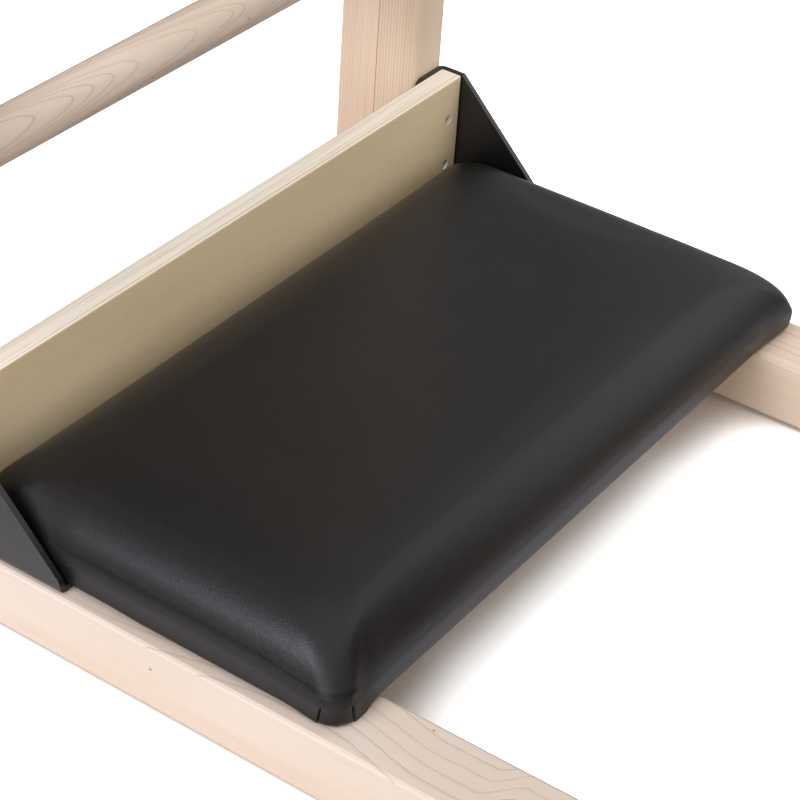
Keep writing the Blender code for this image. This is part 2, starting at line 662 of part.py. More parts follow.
def build_kick_board(plywood, steel):
    bm = bmesh.new()
    block(bm, (-KICK_LENGTH / 2, 0, 0), (KICK_LENGTH / 2, KICK_THICKNESS, KICK_HEIGHT),
          KICK_EASE)
    board = piece("kick_board", bm, plywood, (0, KICK_FRONT_Y, KICK_BASE))
    cuts = bmesh.new()
    for x in (-KICK_SCREW_X, KICK_SCREW_X):
        for rise in KICK_SCREW_RISES:
            drill(cuts, (x, 0, rise), (0, 1, 0),
                  [(WOOD_SCREW_HEAD + SCREW_PLAY, KICK_COUNTERBORE),
                   (WOOD_SCREW_RADIUS + SCREW_PLAY, KICK_THICKNESS + GAP)], 16)
    blend_shape(board, cuts, "DIFFERENCE", "screw_holes")

    along_y = Matrix.Rotation(-math.pi / 2, 4, "X")
    shank = (KICK_THICKNESS - KICK_COUNTERBORE) + PLATE + 2 * GAP + WOOD_SCREW_BITE
    for side, label in ((-1, "left"), (1, "right")):
        for number, rise in enumerate(KICK_SCREW_RISES, 1):
            bm = bmesh.new()
            socket_screw(bm, along_y, WOOD_SCREW_RADIUS, shank, WOOD_SCREW_HEAD,
                         WOOD_SCREW_HEAD_HEIGHT)
            piece(f"kick_screw_{label}_{number}", bm, steel,
                  (side * KICK_SCREW_X, KICK_FRONT_Y + KICK_COUNTERBORE - GAP,
                   KICK_BASE + rise))


def step_rings():
    """The cushion's outer rings from its lower edge up to the crown: (inset, height)."""
    roll = STEP_ROLL_RADIUS
    ease = STEP_BAND_EASE
    middle = (STEP_DRAWN_IN + roll, STEP_EDGE_HEIGHT - roll)
    rings = [(ease, 0.0), (0.0, ease), (0.0, STEP_BAND_HEIGHT - ease),
             (STEP_DRAWN_IN, STEP_BAND_HEIGHT + STEP_CREASE_HEIGHT)]
    for inset, height in arc(middle, roll, 180, 96, 6):
        rings.append((inset, height))
    reach = STEP_DEPTH / 2 - middle[0]
    for share in STEP_CROWN_SHARES:
        rings.append((middle[0] + share * reach,
                      STEP_EDGE_HEIGHT + STEP_CROWN * math.sin(share * math.pi / 2)))
    return rings


def build_step(vinyl, plywood, rubber):
    """The platform's board, the cushion that wraps it, and the bumpers below it."""
    board_half = (STEP_WIDTH / 2 - STEP_COVER_THICKNESS,
                  STEP_DEPTH / 2 - STEP_COVER_THICKNESS)
    place = (0, STEP_MIDDLE_Y, STEP_BASE_Z)
    corner = STEP_CORNER_RADIUS - STEP_COVER_THICKNESS
    bm = bmesh.new()
    loft(bm, [[(x, y, z) for x, y in rounded_rectangle(*board_half, corner, 3)]
              for z in (0, STEP_BOARD_THICKNESS)])
    board = piece("step_board", bm, plywood, place)
    cuts = bmesh.new()
    for side in (-1, 1):
        for reach in STEP_SCREW_PLACES:
            drill(cuts, (side * STEP_SCREW_X, KICK_FRONT_Y - reach - STEP_MIDDLE_Y, 0),
                  (0, 0, 1), [(WOOD_SCREW_RADIUS + SCREW_PLAY, STEP_SCREW_BITE + GAP)])
        drill(cuts, (side * RAIL_MIDDLE_X, BUMPER_SETBACK - STEP_DEPTH / 2, 0),
              (0, 0, 1), [(BUMPER_PEG_RADIUS + GAP, BUMPER_PEG_LENGTH + GAP)])
    blend_shape(board, cuts, "DIFFERENCE", "screw_holes")

    rings = []
    pocket = [(board_half[0] + GAP, board_half[1] + GAP, STEP_BOARD_THICKNESS + GAP),
              (board_half[0] + GAP, board_half[1] + GAP, 0.0)]
    for half_x, half_y, height in pocket:
        outline = rounded_rectangle(half_x, half_y, corner + GAP, STEP_CORNER_STEPS)
        rings.append([(x, y, height) for x, y in outline])
    for inset, height in step_rings():
        radius = max(STEP_CORNER_RADIUS - inset / 2, STEP_TOP_CORNER)
        outline = rounded_rectangle(STEP_WIDTH / 2 - inset, STEP_DEPTH / 2 - inset,
                                    radius, STEP_CORNER_STEPS)
        rings.append([(x, y, height) for x, y in outline])
    bm = bmesh.new()
    loft(bm, rings)
    piece("step_cushion", bm, vinyl, place)

    for side, label in ((-1, "left"), (1, "right")):
        bm = bmesh.new()
        thickness = PLATE
        turned(bm, [(0, 0), (BUMPER_RADIUS - RUBBER_CHAMFER, 0),
                    (BUMPER_RADIUS, RUBBER_CHAMFER),
                    (BUMPER_RADIUS, thickness), (BUMPER_PEG_RADIUS, thickness),
                    (BUMPER_PEG_RADIUS, thickness + BUMPER_PEG_LENGTH),
                    (0, thickness + BUMPER_PEG_LENGTH)], 16)
        piece(f"step_bumper_{label}", bm, rubber,
              (side * RAIL_MIDDLE_X, STEP_FRONT_Y + BUMPER_SETBACK, BRACKET_BASE))


def arch_stations():
    """Angles along the barrel's arch, each with the padding's share of its thickness."""
    span = math.pi + 2 * SHELL_DROOP
    roll = BARREL_ROLL_RADIUS / BARREL_RADIUS
    ends = []
    for share in BARREL_END_SHARES:
        thick = math.sqrt(1 - (1 - share) ** 2)
        ends.append((share * roll, max(thick, BARREL_END_SHARE)))
    middle = [(roll + (span - 2 * roll) * i / SHELL_STEPS, 1.0)
              for i in range(SHELL_STEPS + 1)]
    far_ends = [(span - travel, thick) for travel, thick in reversed(ends)]
    return [(travel - SHELL_DROOP, thick) for travel, thick in ends + middle + far_ends]


def panel_outline():
    """Outline of a barrel side: the arc on top, a waist, and a straight foot."""
    radius = SHELL_INNER - GAP
    top = []
    for angle, _ in arch_stations()[:len(arch_stations()) // 2 + 1]:
        top.append((radius * math.cos(angle),
                    BARREL_CENTRE_RISE + radius * math.sin(angle)))
    end = Vector(top[0])
    foot = Vector((PANEL_FOOT, PANEL_FOOT_RISE))
    leave = Vector((-math.sin(SHELL_DROOP), -math.cos(SHELL_DROOP)))
    handle = (end.y - foot.y) * PANEL_SWEEP_PULL
    controls = [foot, foot + Vector((0, handle)), end + leave * handle, end]
    controls[1].x = PANEL_WAIST
    sweep = []
    for i in range(PANEL_SWEEP_STEPS):
        t = i / PANEL_SWEEP_STEPS
        weights = ((1 - t) ** 3, 3 * t * (1 - t) ** 2, 3 * t * t * (1 - t), t ** 3)
        point = sum((w * c for w, c in zip(weights, controls)), Vector((0, 0)))
        sweep.append(tuple(point))
    bottom = PANEL_FLOOR_GAP - RAIL_TOP
    corner = PANEL_FOOT_RADIUS
    toe = arc((PANEL_FOOT - corner, bottom + corner), corner, 270, 360, 3)
    right = toe + sweep + top
    left = [(-y, z) for y, z in reversed(right[:-1])]
    return right + left


def build_barrel_side(side, label, carriage, wood):
    bm = bmesh.new()
    prism(bm, panel_outline(), -PANEL_THICKNESS / 2, PANEL_THICKNESS / 2, TIMBER_EASE, 1)
    middle_x = side * (PANEL_INNER_X + PANEL_OUTER_X) / 2
    panel = piece(f"barrel_side_{label}", bm, wood, (middle_x, 0, 0), carriage)
    cuts = bmesh.new()
    grip = [(a, b + GRIP_RISE) for a, b in
            rounded_rectangle(GRIP_LENGTH / 2, GRIP_HEIGHT / 2, GRIP_HEIGHT / 2 - GAP, 5)]
    prism(cuts, grip, -PANEL_THICKNESS, PANEL_THICKNESS)
    for end in (-1, 1):
        mortise(cuts, -side * PANEL_THICKNESS / 2, side, end * CROSSBAR_SPREAD,
                CROSSBAR_RISE, CROSSBAR_WIDTH, CROSSBAR_HEIGHT, CROSSBAR_TENON)
        drill(cuts, (-side * PANEL_THICKNESS, end * RUNNER_BOLT_SPREAD, runner_bolt_z()),
              (side, 0, 0), [(RUNNER_BOLT_RADIUS + SCREW_PLAY, 2 * PANEL_THICKNESS)])
    blend_shape(panel, cuts, "DIFFERENCE", "holes")


def runner_bolt_z():
    """Above the rails: halfway up the runner's body."""
    return RUNNER_BASE + RUNNER_HEIGHT / 2


def build_shell(carriage, plywood):
    """The bent plywood sheet that is laid over both sides."""
    half = BARREL_WIDTH / 2
    section = [(half, SHELL_INNER), (half, SHELL_OUTER), (-half, SHELL_OUTER),
               (-half, SHELL_INNER)]
    rings = [[(x, r * math.cos(angle), r * math.sin(angle)) for x, r in section]
             for angle, _ in arch_stations()]
    bm = bmesh.new()
    loft(bm, rings)
    piece("barrel_shell", bm, plywood, (0, 0, BARREL_CENTRE_RISE), carriage)


def barrel_section(share):
    """The cushion's cross-section as (x, height over the shell), thinned by share."""
    half = BARREL_WIDTH / 2
    edge = BARREL_PADDING
    roll = BARREL_ROLL_RADIUS
    middle = (half - BARREL_DRAWN_IN - roll, edge - roll)
    crease = (half - BARREL_DRAWN_IN, BARREL_SIDE_BAND + BARREL_CREASE_HEIGHT)
    right = [(half, 0.0), (half, BARREL_SIDE_BAND), crease]
    right += arc(middle, roll, 0, 90, 5)
    right += [(half / 2, edge + BARREL_CROWN * BARREL_SHOULDER_SHARE)]
    left = [(-x, h) for x, h in reversed(right)]
    section = right + [(0.0, edge + BARREL_CROWN)] + left
    return [(x, h * share) for x, h in section]


def build_barrel_cushion(carriage, vinyl):
    """The padding over the shell, thick all along and rolled in at both ends."""
    base = SHELL_OUTER + GAP
    rings = []
    for angle, thick in arch_stations():
        rings.append([(x, (base + h) * math.cos(angle), (base + h) * math.sin(angle))
                      for x, h in barrel_section(thick)])
    bm = bmesh.new()
    loft(bm, rings)
    piece("barrel_cushion", bm, vinyl, (0, 0, BARREL_CENTRE_RISE), carriage)


def build_crossbars(carriage, wood):
    for end, label in ((-1, "rear"), (1, "front")):
        bm = bmesh.new()
        tenoned_bar(bm, 2 * (PANEL_INNER_X - GAP), CROSSBAR_WIDTH, CROSSBAR_HEIGHT,
                    CROSSBAR_TENON)
        piece(f"barrel_crossbar_{label}", bm, wood,
              (0, end * CROSSBAR_SPREAD, CROSSBAR_RISE), carriage)


def build_runner(side, label, carriage, wood):
    """A hardwood runner: its body lies over the rail, its tongue hangs beside it."""
    inner = PANEL_OUTER_X + GAP
    outer = RAIL_OUTER_X - RUNNER_EDGE_INSET
    top = RUNNER_BASE + RUNNER_HEIGHT
    bottom = RUNNER_FLOOR_GAP - RAIL_TOP
    ease = TIMBER_EASE
    chamfer = RUNNER_TOP_CHAMFER
    section = [(inner, bottom), (TONGUE_OUTER_X - ease, bottom),
               (TONGUE_OUTER_X, bottom + ease), (TONGUE_OUTER_X, RUNNER_BASE),
               (outer - ease, RUNNER_BASE), (outer, RUNNER_BASE + ease),
               (outer, top - chamfer), (outer - chamfer, top), (inner, top)]
    middle_x = side * (inner + outer) / 2
    bm = bmesh.new()
    loft(bm, [[(side * x - middle_x, y, z) for x, z in section]
              for y in (-RUNNER_LENGTH / 2, RUNNER_LENGTH / 2)])
    runner = piece(f"runner_{label}", bm, wood, (middle_x, 0, 0), carriage)
    cuts = bmesh.new()
    drill(cuts, (side * TONGUE_OUTER_X - middle_x, 0, -CLAMP_DROP), (-side, 0, 0),
          [(INSERT_RADIUS + GAP, INSERT_LENGTH + 2 * GAP)], 16)
    for end in (-1, 1):
        drill(cuts, (side * inner - middle_x, end * RUNNER_BOLT_SPREAD, runner_bolt_z()),
              (side, 0, 0), [(RUNNER_BOLT_RADIUS + SCREW_PLAY, RUNNER_BOLT_GRIP + GAP)])
    blend_shape(runner, cuts, "DIFFERENCE", "holes")


def build_glide(side, label, carriage, plastic):
    """A slippery strip under the runner's body, lying on the rail."""
    inner = RAIL_INNER_X + GLIDE_MARGIN
    outer = RAIL_OUTER_X - RUNNER_EDGE_INSET - GLIDE_MARGIN
    half = (outer - inner) / 2
    bm = bmesh.new()
    block(bm, (-half, GLIDE_MARGIN - RUNNER_LENGTH / 2, 0),
          (half, RUNNER_LENGTH / 2 - GLIDE_MARGIN, GLIDE_THICKNESS), GLIDE_EASE, 1)
    piece(f"glide_strip_{label}", bm, plastic, (side * (inner + half), 0, GAP), carriage)


def build_runner_bolts(side, label, carriage, steel):
    """Bolts from inside the barrel through its side into the runner."""
    turn = Matrix.Rotation(side * math.pi / 2, 4, "Y")
    for end, place in ((-1, "rear"), (1, "front")):
        bm = bmesh.new()
        socket_screw(bm, turn, RUNNER_BOLT_RADIUS,
                     PANEL_THICKNESS + GAP + RUNNER_BOLT_GRIP, RUNNER_BOLT_HEAD,
                     RUNNER_BOLT_HEAD_HEIGHT)
        piece(f"runner_bolt_{label}_{place}", bm, steel,
              (side * (PANEL_INNER_X - GAP), end * RUNNER_BOLT_SPREAD, runner_bolt_z()),
              carriage)


def build_clamp(side, label, carriage, steel, brass, plastic):
    """A hand clamp: insert in the tongue, stud through the slot, washer and knob."""
    outwards = Matrix.Rotation(side * math.pi / 2, 4, "Y")
    bore = STUD_RADIUS + SCREW_PLAY
    bm = bmesh.new()
    turned_ring(bm, [(bore, 0), (bore, -INSERT_LENGTH), (INSERT_RADIUS, -INSERT_LENGTH),
                     (INSERT_RADIUS, 0)], 16, outwards)
    piece(f"clamp_insert_{label}", bm, brass,
          (side * TONGUE_OUTER_X, 0, -CLAMP_DROP), carriage)

    clamp = holder(f"clamp_axis_{label}", (side * RAIL_OUTER_X, 0, -CLAMP_DROP), carriage)
    bm = bmesh.new()
    turned_ring(bm, [(bore, GAP), (bore, GAP + WASHER_THICKNESS),
                     (WASHER_RADIUS, GAP + WASHER_THICKNESS), (WASHER_RADIUS, GAP)],
                20, outwards)
    piece(f"clamp_washer_{label}", bm, steel, parent=clamp)

    knob_base = WASHER_THICKNESS + 2 * GAP
    inner_end = TONGUE_OUTER_X - RAIL_OUTER_X - INSERT_LENGTH + STUD_END_PLAY
    outer_end = knob_base + KNOB_BORE_DEPTH - GAP
    bm = bmesh.new()
    turned(bm, [(0, inner_end), (STUD_RADIUS - STUD_CHAMFER, inner_end),
                (STUD_RADIUS, inner_end + STUD_CHAMFER), (STUD_RADIUS, outer_end),
                (0, outer_end)], 16, outwards)
    piece(f"clamp_stud_{label}", bm, steel, parent=clamp)

    top = knob_base + KNOB_DEPTH
    neck = knob_base + KNOB_NECK
    rim = KNOB_RADIUS - KNOB_FACE_INSET
    bm = bmesh.new()
    turned(bm, [(0, knob_base + KNOB_BORE_DEPTH), (bore, knob_base + KNOB_BORE_DEPTH),
                (bore, knob_base), (KNOB_HUB_RADIUS, knob_base), (KNOB_HUB_RADIUS, neck),
                (rim, neck + KNOB_BACK_BEVEL[0]), (KNOB_RADIUS, neck + KNOB_BACK_BEVEL[1]),
                (KNOB_RADIUS, top - KNOB_FRONT_BEVEL[1]), (rim, top - KNOB_FRONT_BEVEL[0]),
                (KNOB_CAP_RADIUS, top), (0, top)], 6 * KNOB_LOBES, outwards,
           KNOB_LOBES, KNOB_LOBE_DEPTH, (KNOB_CAP_RADIUS + rim) / 2)
    piece(f"clamp_knob_{label}", bm, plastic, parent=clamp)


def build_barrel(beech, plywood, vinyl, steel, brass, plastic):
    """Everything that slides along the rails, carried by one empty on their top."""
    carriage = holder("barrel_carriage", (0, BARREL_Y, RAIL_TOP))
    build_shell(carriage, plywood)
    build_barrel_cushion(carriage, vinyl)
    build_crossbars(carriage, beech)
    for side, label in ((-1, "left"), (1, "right")):
        build_barrel_side(side, label, carriage, beech)
        build_runner(side, label, carriage, beech)
        build_glide(side, label, carriage, plastic)
        build_runner_bolts(side, label, carriage, steel)
        build_clamp(side, label, carriage, steel, brass, plastic)


def build_frame(beech, plywood, vinyl, steel, black_steel, rubber):
    """Everything that stays where it stands."""
    build_stretchers(beech)
    for side, label in ((-1, "left"), (1, "right")):
        build_rail(side, label, beech)
        build_upright(side, label, beech)
        build_upright_bolt(side, label, steel)
        build_bracket(side, label, black_steel)
        build_bracket_screws(side, label, steel)
        build_step_screws(side, label, steel)
        for y, end in zip(foot_ys(), ("barrel_end", "ladder_end")):
            build_foot(side, label, y, end, rubber)
    for number in range(1, RUNG_COUNT + 1):
        build_rung(number, beech)
    build_kick_board(plywood, steel)
    build_step(vinyl, plywood, rubber)


def main():
    for thing in list(bpy.data.objects):
        bpy.data.objects.remove(thing, do_unlink=True)
    beech = paint("pale_beech", 232, 216, 198, 0.45)
    plywood = paint("maple_plywood", 205, 188, 160, 0.5)
    vinyl = paint("black_vinyl", 48, 47, 48, 0.42)
    steel = paint("zinc_steel", 176, 176, 178, 0.35, 1.0)
    brass = paint("brass", 181, 150, 88, 0.35, 1.0)
    black_steel = paint("black_powder_coat", 34, 34, 36, 0.5)
    rubber = paint("black_rubber", 30, 30, 31, 0.8)
    plastic = paint("black_plastic", 32, 32, 34, 0.4)
    build_frame(beech, plywood, vinyl, steel, black_steel, rubber)
    build_barrel(beech, plywood, vinyl, steel, brass, plastic)


main()
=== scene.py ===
# Pilates ladder barrel: timber, upholstery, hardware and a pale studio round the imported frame
import math

import bmesh
import bpy
import numpy
from mathutils import Matrix, Vector


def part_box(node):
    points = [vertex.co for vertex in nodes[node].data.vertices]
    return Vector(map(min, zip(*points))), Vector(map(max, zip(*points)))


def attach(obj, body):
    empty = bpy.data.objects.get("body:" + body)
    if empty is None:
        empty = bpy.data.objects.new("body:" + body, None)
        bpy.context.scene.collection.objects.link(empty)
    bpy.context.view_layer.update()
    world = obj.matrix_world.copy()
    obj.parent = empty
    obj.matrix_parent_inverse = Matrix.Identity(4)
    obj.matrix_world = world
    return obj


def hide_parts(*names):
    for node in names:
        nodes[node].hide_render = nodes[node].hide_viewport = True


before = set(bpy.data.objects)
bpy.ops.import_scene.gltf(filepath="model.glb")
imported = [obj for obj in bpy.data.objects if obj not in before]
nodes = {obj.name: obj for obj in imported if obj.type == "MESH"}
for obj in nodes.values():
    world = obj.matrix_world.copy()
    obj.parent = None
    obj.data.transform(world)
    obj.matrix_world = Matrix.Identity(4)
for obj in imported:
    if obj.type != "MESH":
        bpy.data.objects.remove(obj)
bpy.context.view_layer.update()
print("frame loaded,", len(nodes), "nodes")


# small helpers
def tone(red, green, blue):
    # a screen colour, 0 to 255, as the linear colour that a shader takes
    linear = []
    for part in (red, green, blue):
        share = part / 255
        linear.append(share / 12.92 if share <= 0.04045 else ((share + 0.055) / 1.055) ** 2.4)
    return (*linear, 1.0)


def ease(low, high, value):
    share = min(max((value - low) / (high - low), 0.0), 1.0)
    return share * share * (3 - 2 * share)


def arcPoints(middle, radius, start, end, steps):
    # points on an arc, angles in degrees
    points = []
    for i in range(steps + 1):
        angle = math.radians(start + (end - start) * i / steps)
        points.append((middle[0] + radius * math.cos(angle),
                       middle[1] + radius * math.sin(angle)))
    return points


def makePiece(name, bm, material, body, smooth=True):
    bmesh.ops.recalc_face_normals(bm, faces=bm.faces)
    mesh = bpy.data.meshes.new(name)
    bm.to_mesh(mesh)
    bm.free()
    made = bpy.data.objects.new(name, mesh)
    bpy.context.scene.collection.objects.link(made)
    mesh.materials.append(material)
    if smooth:
        mesh.shade_smooth()
    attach(made, body)
    return made


# a shader socket that can be added, subtracted and multiplied like a number
class Wire:
    def __init__(self, graph, socket):
        self.graph = graph
        self.socket = socket

    def combine(self, operation, first, second):
        wired = [w.socket.type for w in (first, second) if isinstance(w, Wire)]
        if all(kind == "VALUE" for kind in wired):
            return self.graph.add("Math", {"operation": operation}, {0: first, 1: second})
        sides = [(w, w, w) if isinstance(w, (int, float)) else w for w in (first, second)]
        return self.graph.add("VectorMath", {"operation": operation},
                              {0: sides[0], 1: sides[1]})

    def __add__(self, other):
        return self.combine("ADD", self, other)

    def __radd__(self, other):
        return self.combine("ADD", other, self)

    def __sub__(self, other):
        return self.combine("SUBTRACT", self, other)

    def __rsub__(self, other):
        return self.combine("SUBTRACT", other, self)

    def __mul__(self, other):
        return self.combine("MULTIPLY", self, other)

    def __rmul__(self, other):
        return self.combine("MULTIPLY", other, self)

    def __truediv__(self, other):
        return self.combine("DIVIDE", self, other)

    def __rtruediv__(self, other):
        return self.combine("DIVIDE", other, self)


# the node graph of one material, or of the world
class Graph:
    def __init__(self, owner):
        self.owner = owner
        owner.use_nodes = True
        self.tree = owner.node_tree
        self.tree.nodes.clear()

    def add(self, kind, settings=None, sockets=None, out=0):
        made = self.tree.nodes.new("ShaderNode" + kind)
        for key, value in (settings or {}).items():
            setattr(made, key, value)
        for key, value in (sockets or {}).items():
            if isinstance(value, Wire):
                self.tree.links.new(value.socket, made.inputs[key])
            else:
                made.inputs[key].default_value = value
        return Wire(self, made.outputs[out]) if made.outputs else made

    def place(self):
        # position on the object in metres, which moves along with its body
        return self.add("TexCoord", out="Object")

    def localNormal(self, output):
        # the surface's direction in the object's own frame
        normal = self.add("NewGeometry", out=output)
        return self.add("VectorTransform", {"vector_type": "NORMAL", "convert_from": "WORLD",
                                            "convert_to": "OBJECT"}, {0: normal})

    def axes(self, vector):
        made = self.add("SeparateXYZ", sockets={0: vector})
        return [Wire(self, socket) for socket in made.socket.node.outputs]

    def vector(self, x, y, z):
        return self.add("CombineXYZ", sockets={0: x, 1: y, 2: z})

    def noise(self, vector, scale=1.0, detail=2.0, roughness=0.5, out=0):
        return self.add("TexNoise", sockets={"Vector": vector, "Scale": scale,
                                             "Detail": detail, "Roughness": roughness},
                        out=out)

    def grain(self, place, seed, waves):
        # noise stretched along the grain, at a place given along it and twice across it
        along, u, v = place
        alongScale, acrossScale, detail, roughness = waves
        scaled = self.vector(along * alongScale + seed, u * acrossScale, v * acrossScale)
        return self.noise(scaled, 1.0, detail, roughness)

    def draw(self, number):
        # a value from 0 to 1 that looks random, and is the same for the same number
        return self.add("TexWhiteNoise", {"noise_dimensions": "1D"}, {"W": number})

    def step(self, value, low, high, start=0.0, end=1.0):
        # a soft step from start to end while value goes from low to high
        return self.add("MapRange", {"interpolation_type": "SMOOTHSTEP"},
                        {0: value, 1: low, 2: high, 3: start, 4: end})

    def unary(self, operation, value):
        return self.add("Math", {"operation": operation}, {0: value})

    def clamp(self, value):
        return self.add("Clamp", sockets={"Value": value})

    def hypot(self, first, second):
        return self.unary("SQRT", first * first + second * second)

    def distance(self, first, second):
        return self.add("VectorMath", {"operation": "DISTANCE"}, {0: first, 1: second}, out=1)

    def mix(self, share, first, second):
        # blends two colours
        return self.add("Mix", {"data_type": "RGBA"}, {0: share, 6: first, 7: second}, out=2)

    def choose(self, share, first, second):
        # blends two numbers
        return self.add("Mix", {"data_type": "FLOAT"}, {0: share, 2: first, 3: second})

    def surface(self, colour, roughness, height, distance, others=None):
        # a surface shader, with bumps where a height of 1 stands this many metres out
        normal = self.add("Bump", sockets={"Height": height, "Distance": distance,
                                           "Strength": 1.0})
        return self.add("BsdfPrincipled", sockets={
            "Base Color": colour, "Roughness": roughness, "Normal": normal, **(others or {})})

    def output(self, shader):
        self.add("OutputMaterial", sockets={"Surface": shader})
        return self.owner

    def finish(self, *parts):
        return self.output(self.surface(*parts))


def newGraph(name):
    return Graph(bpy.data.materials.new(name))


# pale maple: smooth pinkish wood, thin brown growth lines, fine fibres and short flecks
mapleLook = {
    "pale": tone(232, 214, 194),
    "warm": tone(220, 196, 170),
    "ringLine": tone(150, 118, 90),
    "fleckTone": tone(176, 146, 118),
    "speckTone": tone(96, 66, 46),
    # noises: waves per metre along and across the grain, detail and roughness
    "fibre": (11.0, 700.0, 3.0, 0.6),
    "streak": (2.0, 120.0, 3.0, 0.55),
    "broad": (3.0, 16.0, 2.0, 0.5),
    "short": (120.0, 1100.0, 1.0, 0.5),
    "slow": (9.0, 30.0, 1.0, 0.5),
    "quick": (70.0, 160.0, 2.0, 0.5),
    "warmth": 0.42,               # middle of the swing between the pale and the warm tone
    "patches": 1.3,               # part of the broad noise in that swing
    "shadeWidth": 0.0035,         # of the soft shade on one side of each growth line
    "shadeEdge": 0.00045,         # how softly it starts on the other side
    "shadeDepth": 0.22,
    "archShade": 0.16,            # the same where the rings are given one by one
    "fibreShare": 0.12,
    "speckShare": 0.75,
    "roughness": 0.46,
    "fibreRoughness": 0.18,
    "patchRoughness": 0.08,
    "fibreHeight": 0.00004,
}

# how a piece is cut from the log, where its own cut doesn't say otherwise
plainCut = {
    "seed": 0.0,
    "lean": (0.0, 0.0),           # sideways drift of the pith for each metre along the grain
    "bends": [],                  # (start, end, shift) of the rings along the grain
    "wander": 0.006,              # slow and quick waver of the rings, in metres
    "ragged": 0.0022,
    "ringSpacing": 0.0130,
    "lineWidth": 0.00045,         # of the growth lines, as seen on the surface
    "steepness": (0.12, 0.40),    # of the rings to the surface, from no line to a full one
    "contrast": 0.5,
    "streaks": 0.9,
    "flecks": 0.30,
    "specks": [],                 # x, y, z and size of each dark speck
    "look": {},
}

# where the grain runs, then the two directions across it
grainAxes = {"X": (0, 1, 2), "Y": (1, 0, 2), "Z": (2, 0, 1)}


def growthRings(graph, point, axis, cut, look):
    # how dark the growth line and the shade beside it are, at a point of the surface
    order = grainAxes[axis]
    parts = graph.axes(point)
    along, u, v = (parts[i] for i in order)
    if "round" in cut:
        # the rung is faceted, and its grain is cut as if it was truly round
        middleU, middleV, rungRadius = cut["round"]
        offU, offV = u - middleU, v - middleV
        grow = rungRadius / graph.hypot(offU, offV)
        u, v = offU * grow + middleU, offV * grow + middleV
    for start, end, shift in cut["bends"]:
        u = u - graph.step(along, start, end) * shift
    (pithU, pithV), (leanU, leanV) = cut["pith"], cut["lean"]
    du = u - pithU - along * leanU
    dv = v - pithV - along * leanV
    radius = graph.hypot(du, dv)
    normal = graph.axes(graph.localNormal("Normal"))
    facing = (du * normal[order[1]] + dv * normal[order[2]]) / radius
    steep = graph.unary("SQRT", graph.clamp(1.0 - facing * facing) + (leanU ** 2 + leanV ** 2))
    slow, quick = (graph.grain((along, u, v), cut["seed"], look[kind]) - 0.5
                   for kind in ("slow", "quick"))
    radius = radius + (slow * cut["wander"] + quick * cut["ragged"]) * steep
    if "ringRadii" in cut:
        gaps = [graph.unary("ABSOLUTE", radius - place) for place in cut["ringRadii"]]
        gap = gaps[0]
        for other in gaps[1:]:
            gap = gap.combine("MINIMUM", gap, other)
        own = 1.0
        shade = graph.step(gap / steep, 0.0, look["shadeWidth"], look["archShade"], 0.0)
    else:
        spacing = cut["ringSpacing"]
        phase = radius / spacing
        share = graph.unary("FRACT", phase)
        gap = graph.unary("ABSOLUTE", share - 0.5) * spacing
        own = graph.draw(graph.unary("FLOOR", phase) + cut["seed"]) * 0.6 + 0.4
        before = (0.5 - share) * spacing / steep
        shade = graph.step(before, 0.0, look["shadeWidth"], look["shadeDepth"], 0.0)
        shade = shade * graph.step(before, -look["shadeEdge"], 0.0)
    width = cut["lineWidth"]
    line = graph.step(gap / steep, width * 0.5, width * 1.4, 1.0, 0.0)
    # rings that run level with the surface leave no line on it
    clear = graph.step(steep, *cut["steepness"])
    return line * clear, shade * clear, own


def woodSurface(graph, point, axis, cut, look=mapleLook):
    # colour, roughness and height of solid timber, and how far the height stands out
    cut = {**plainCut, **cut}
    look = {**look, **cut["look"]}
    parts = graph.axes(point)
    place = [parts[i] for i in grainAxes[axis]]
    line, shade, own = growthRings(graph, point, axis, cut, look)
    fibre, streak, broad, short = (graph.grain(place, cut["seed"], look[kind])
                                   for kind in ("fibre", "streak", "broad", "short"))
    fleck = graph.step(short, 0.66, 0.78) * graph.step(broad, 0.35, 0.65, 0.3, 1.0)
    fleck = fleck * cut["flecks"]
    warmth = ((streak - 0.5) * cut["streaks"] + (broad - 0.5) * look["patches"]
              + look["warmth"])
    colour = graph.mix(graph.step(warmth, 0.0, 1.0), look["pale"], look["warm"])
    depth = graph.clamp((line * own + shade) * cut["contrast"])
    colour = graph.mix(depth, colour, look["ringLine"])
    dark = graph.step(fibre, 0.50, 0.80) * look["fibreShare"]
    colour = graph.mix(dark, colour, look["ringLine"])
    colour = graph.mix(fleck, colour, look["fleckTone"])
    for x, y, z, size in cut["specks"]:
        away = graph.distance(point, (x, y, z)) + (fibre - 0.5) * size
        speck = graph.step(away, size * 0.5, size * 1.3, look["speckShare"], 0.0)
        colour = graph.mix(speck, colour, look["speckTone"])
    roughness = (look["roughness"] + (fibre - 0.5) * look["fibreRoughness"]
                 + (broad - 0.5) * look["patchRoughness"])
    height = fibre * 0.7 + streak * 0.5 - line * 0.3 - fleck
    return colour, roughness, height, look["fibreHeight"]


def timber(name, axis, cut):
    graph = newGraph(name)
    return graph.finish(*woodSurface(graph, graph.place(), axis, cut))


# the uprights are glued up from two boards, with a thin amber line where they meet
gluedLook = {"lineHalf": 0.00030, "lineTone": tone(176, 118, 74), "lineShare": 0.80,
             "seamHalf": 0.00001}


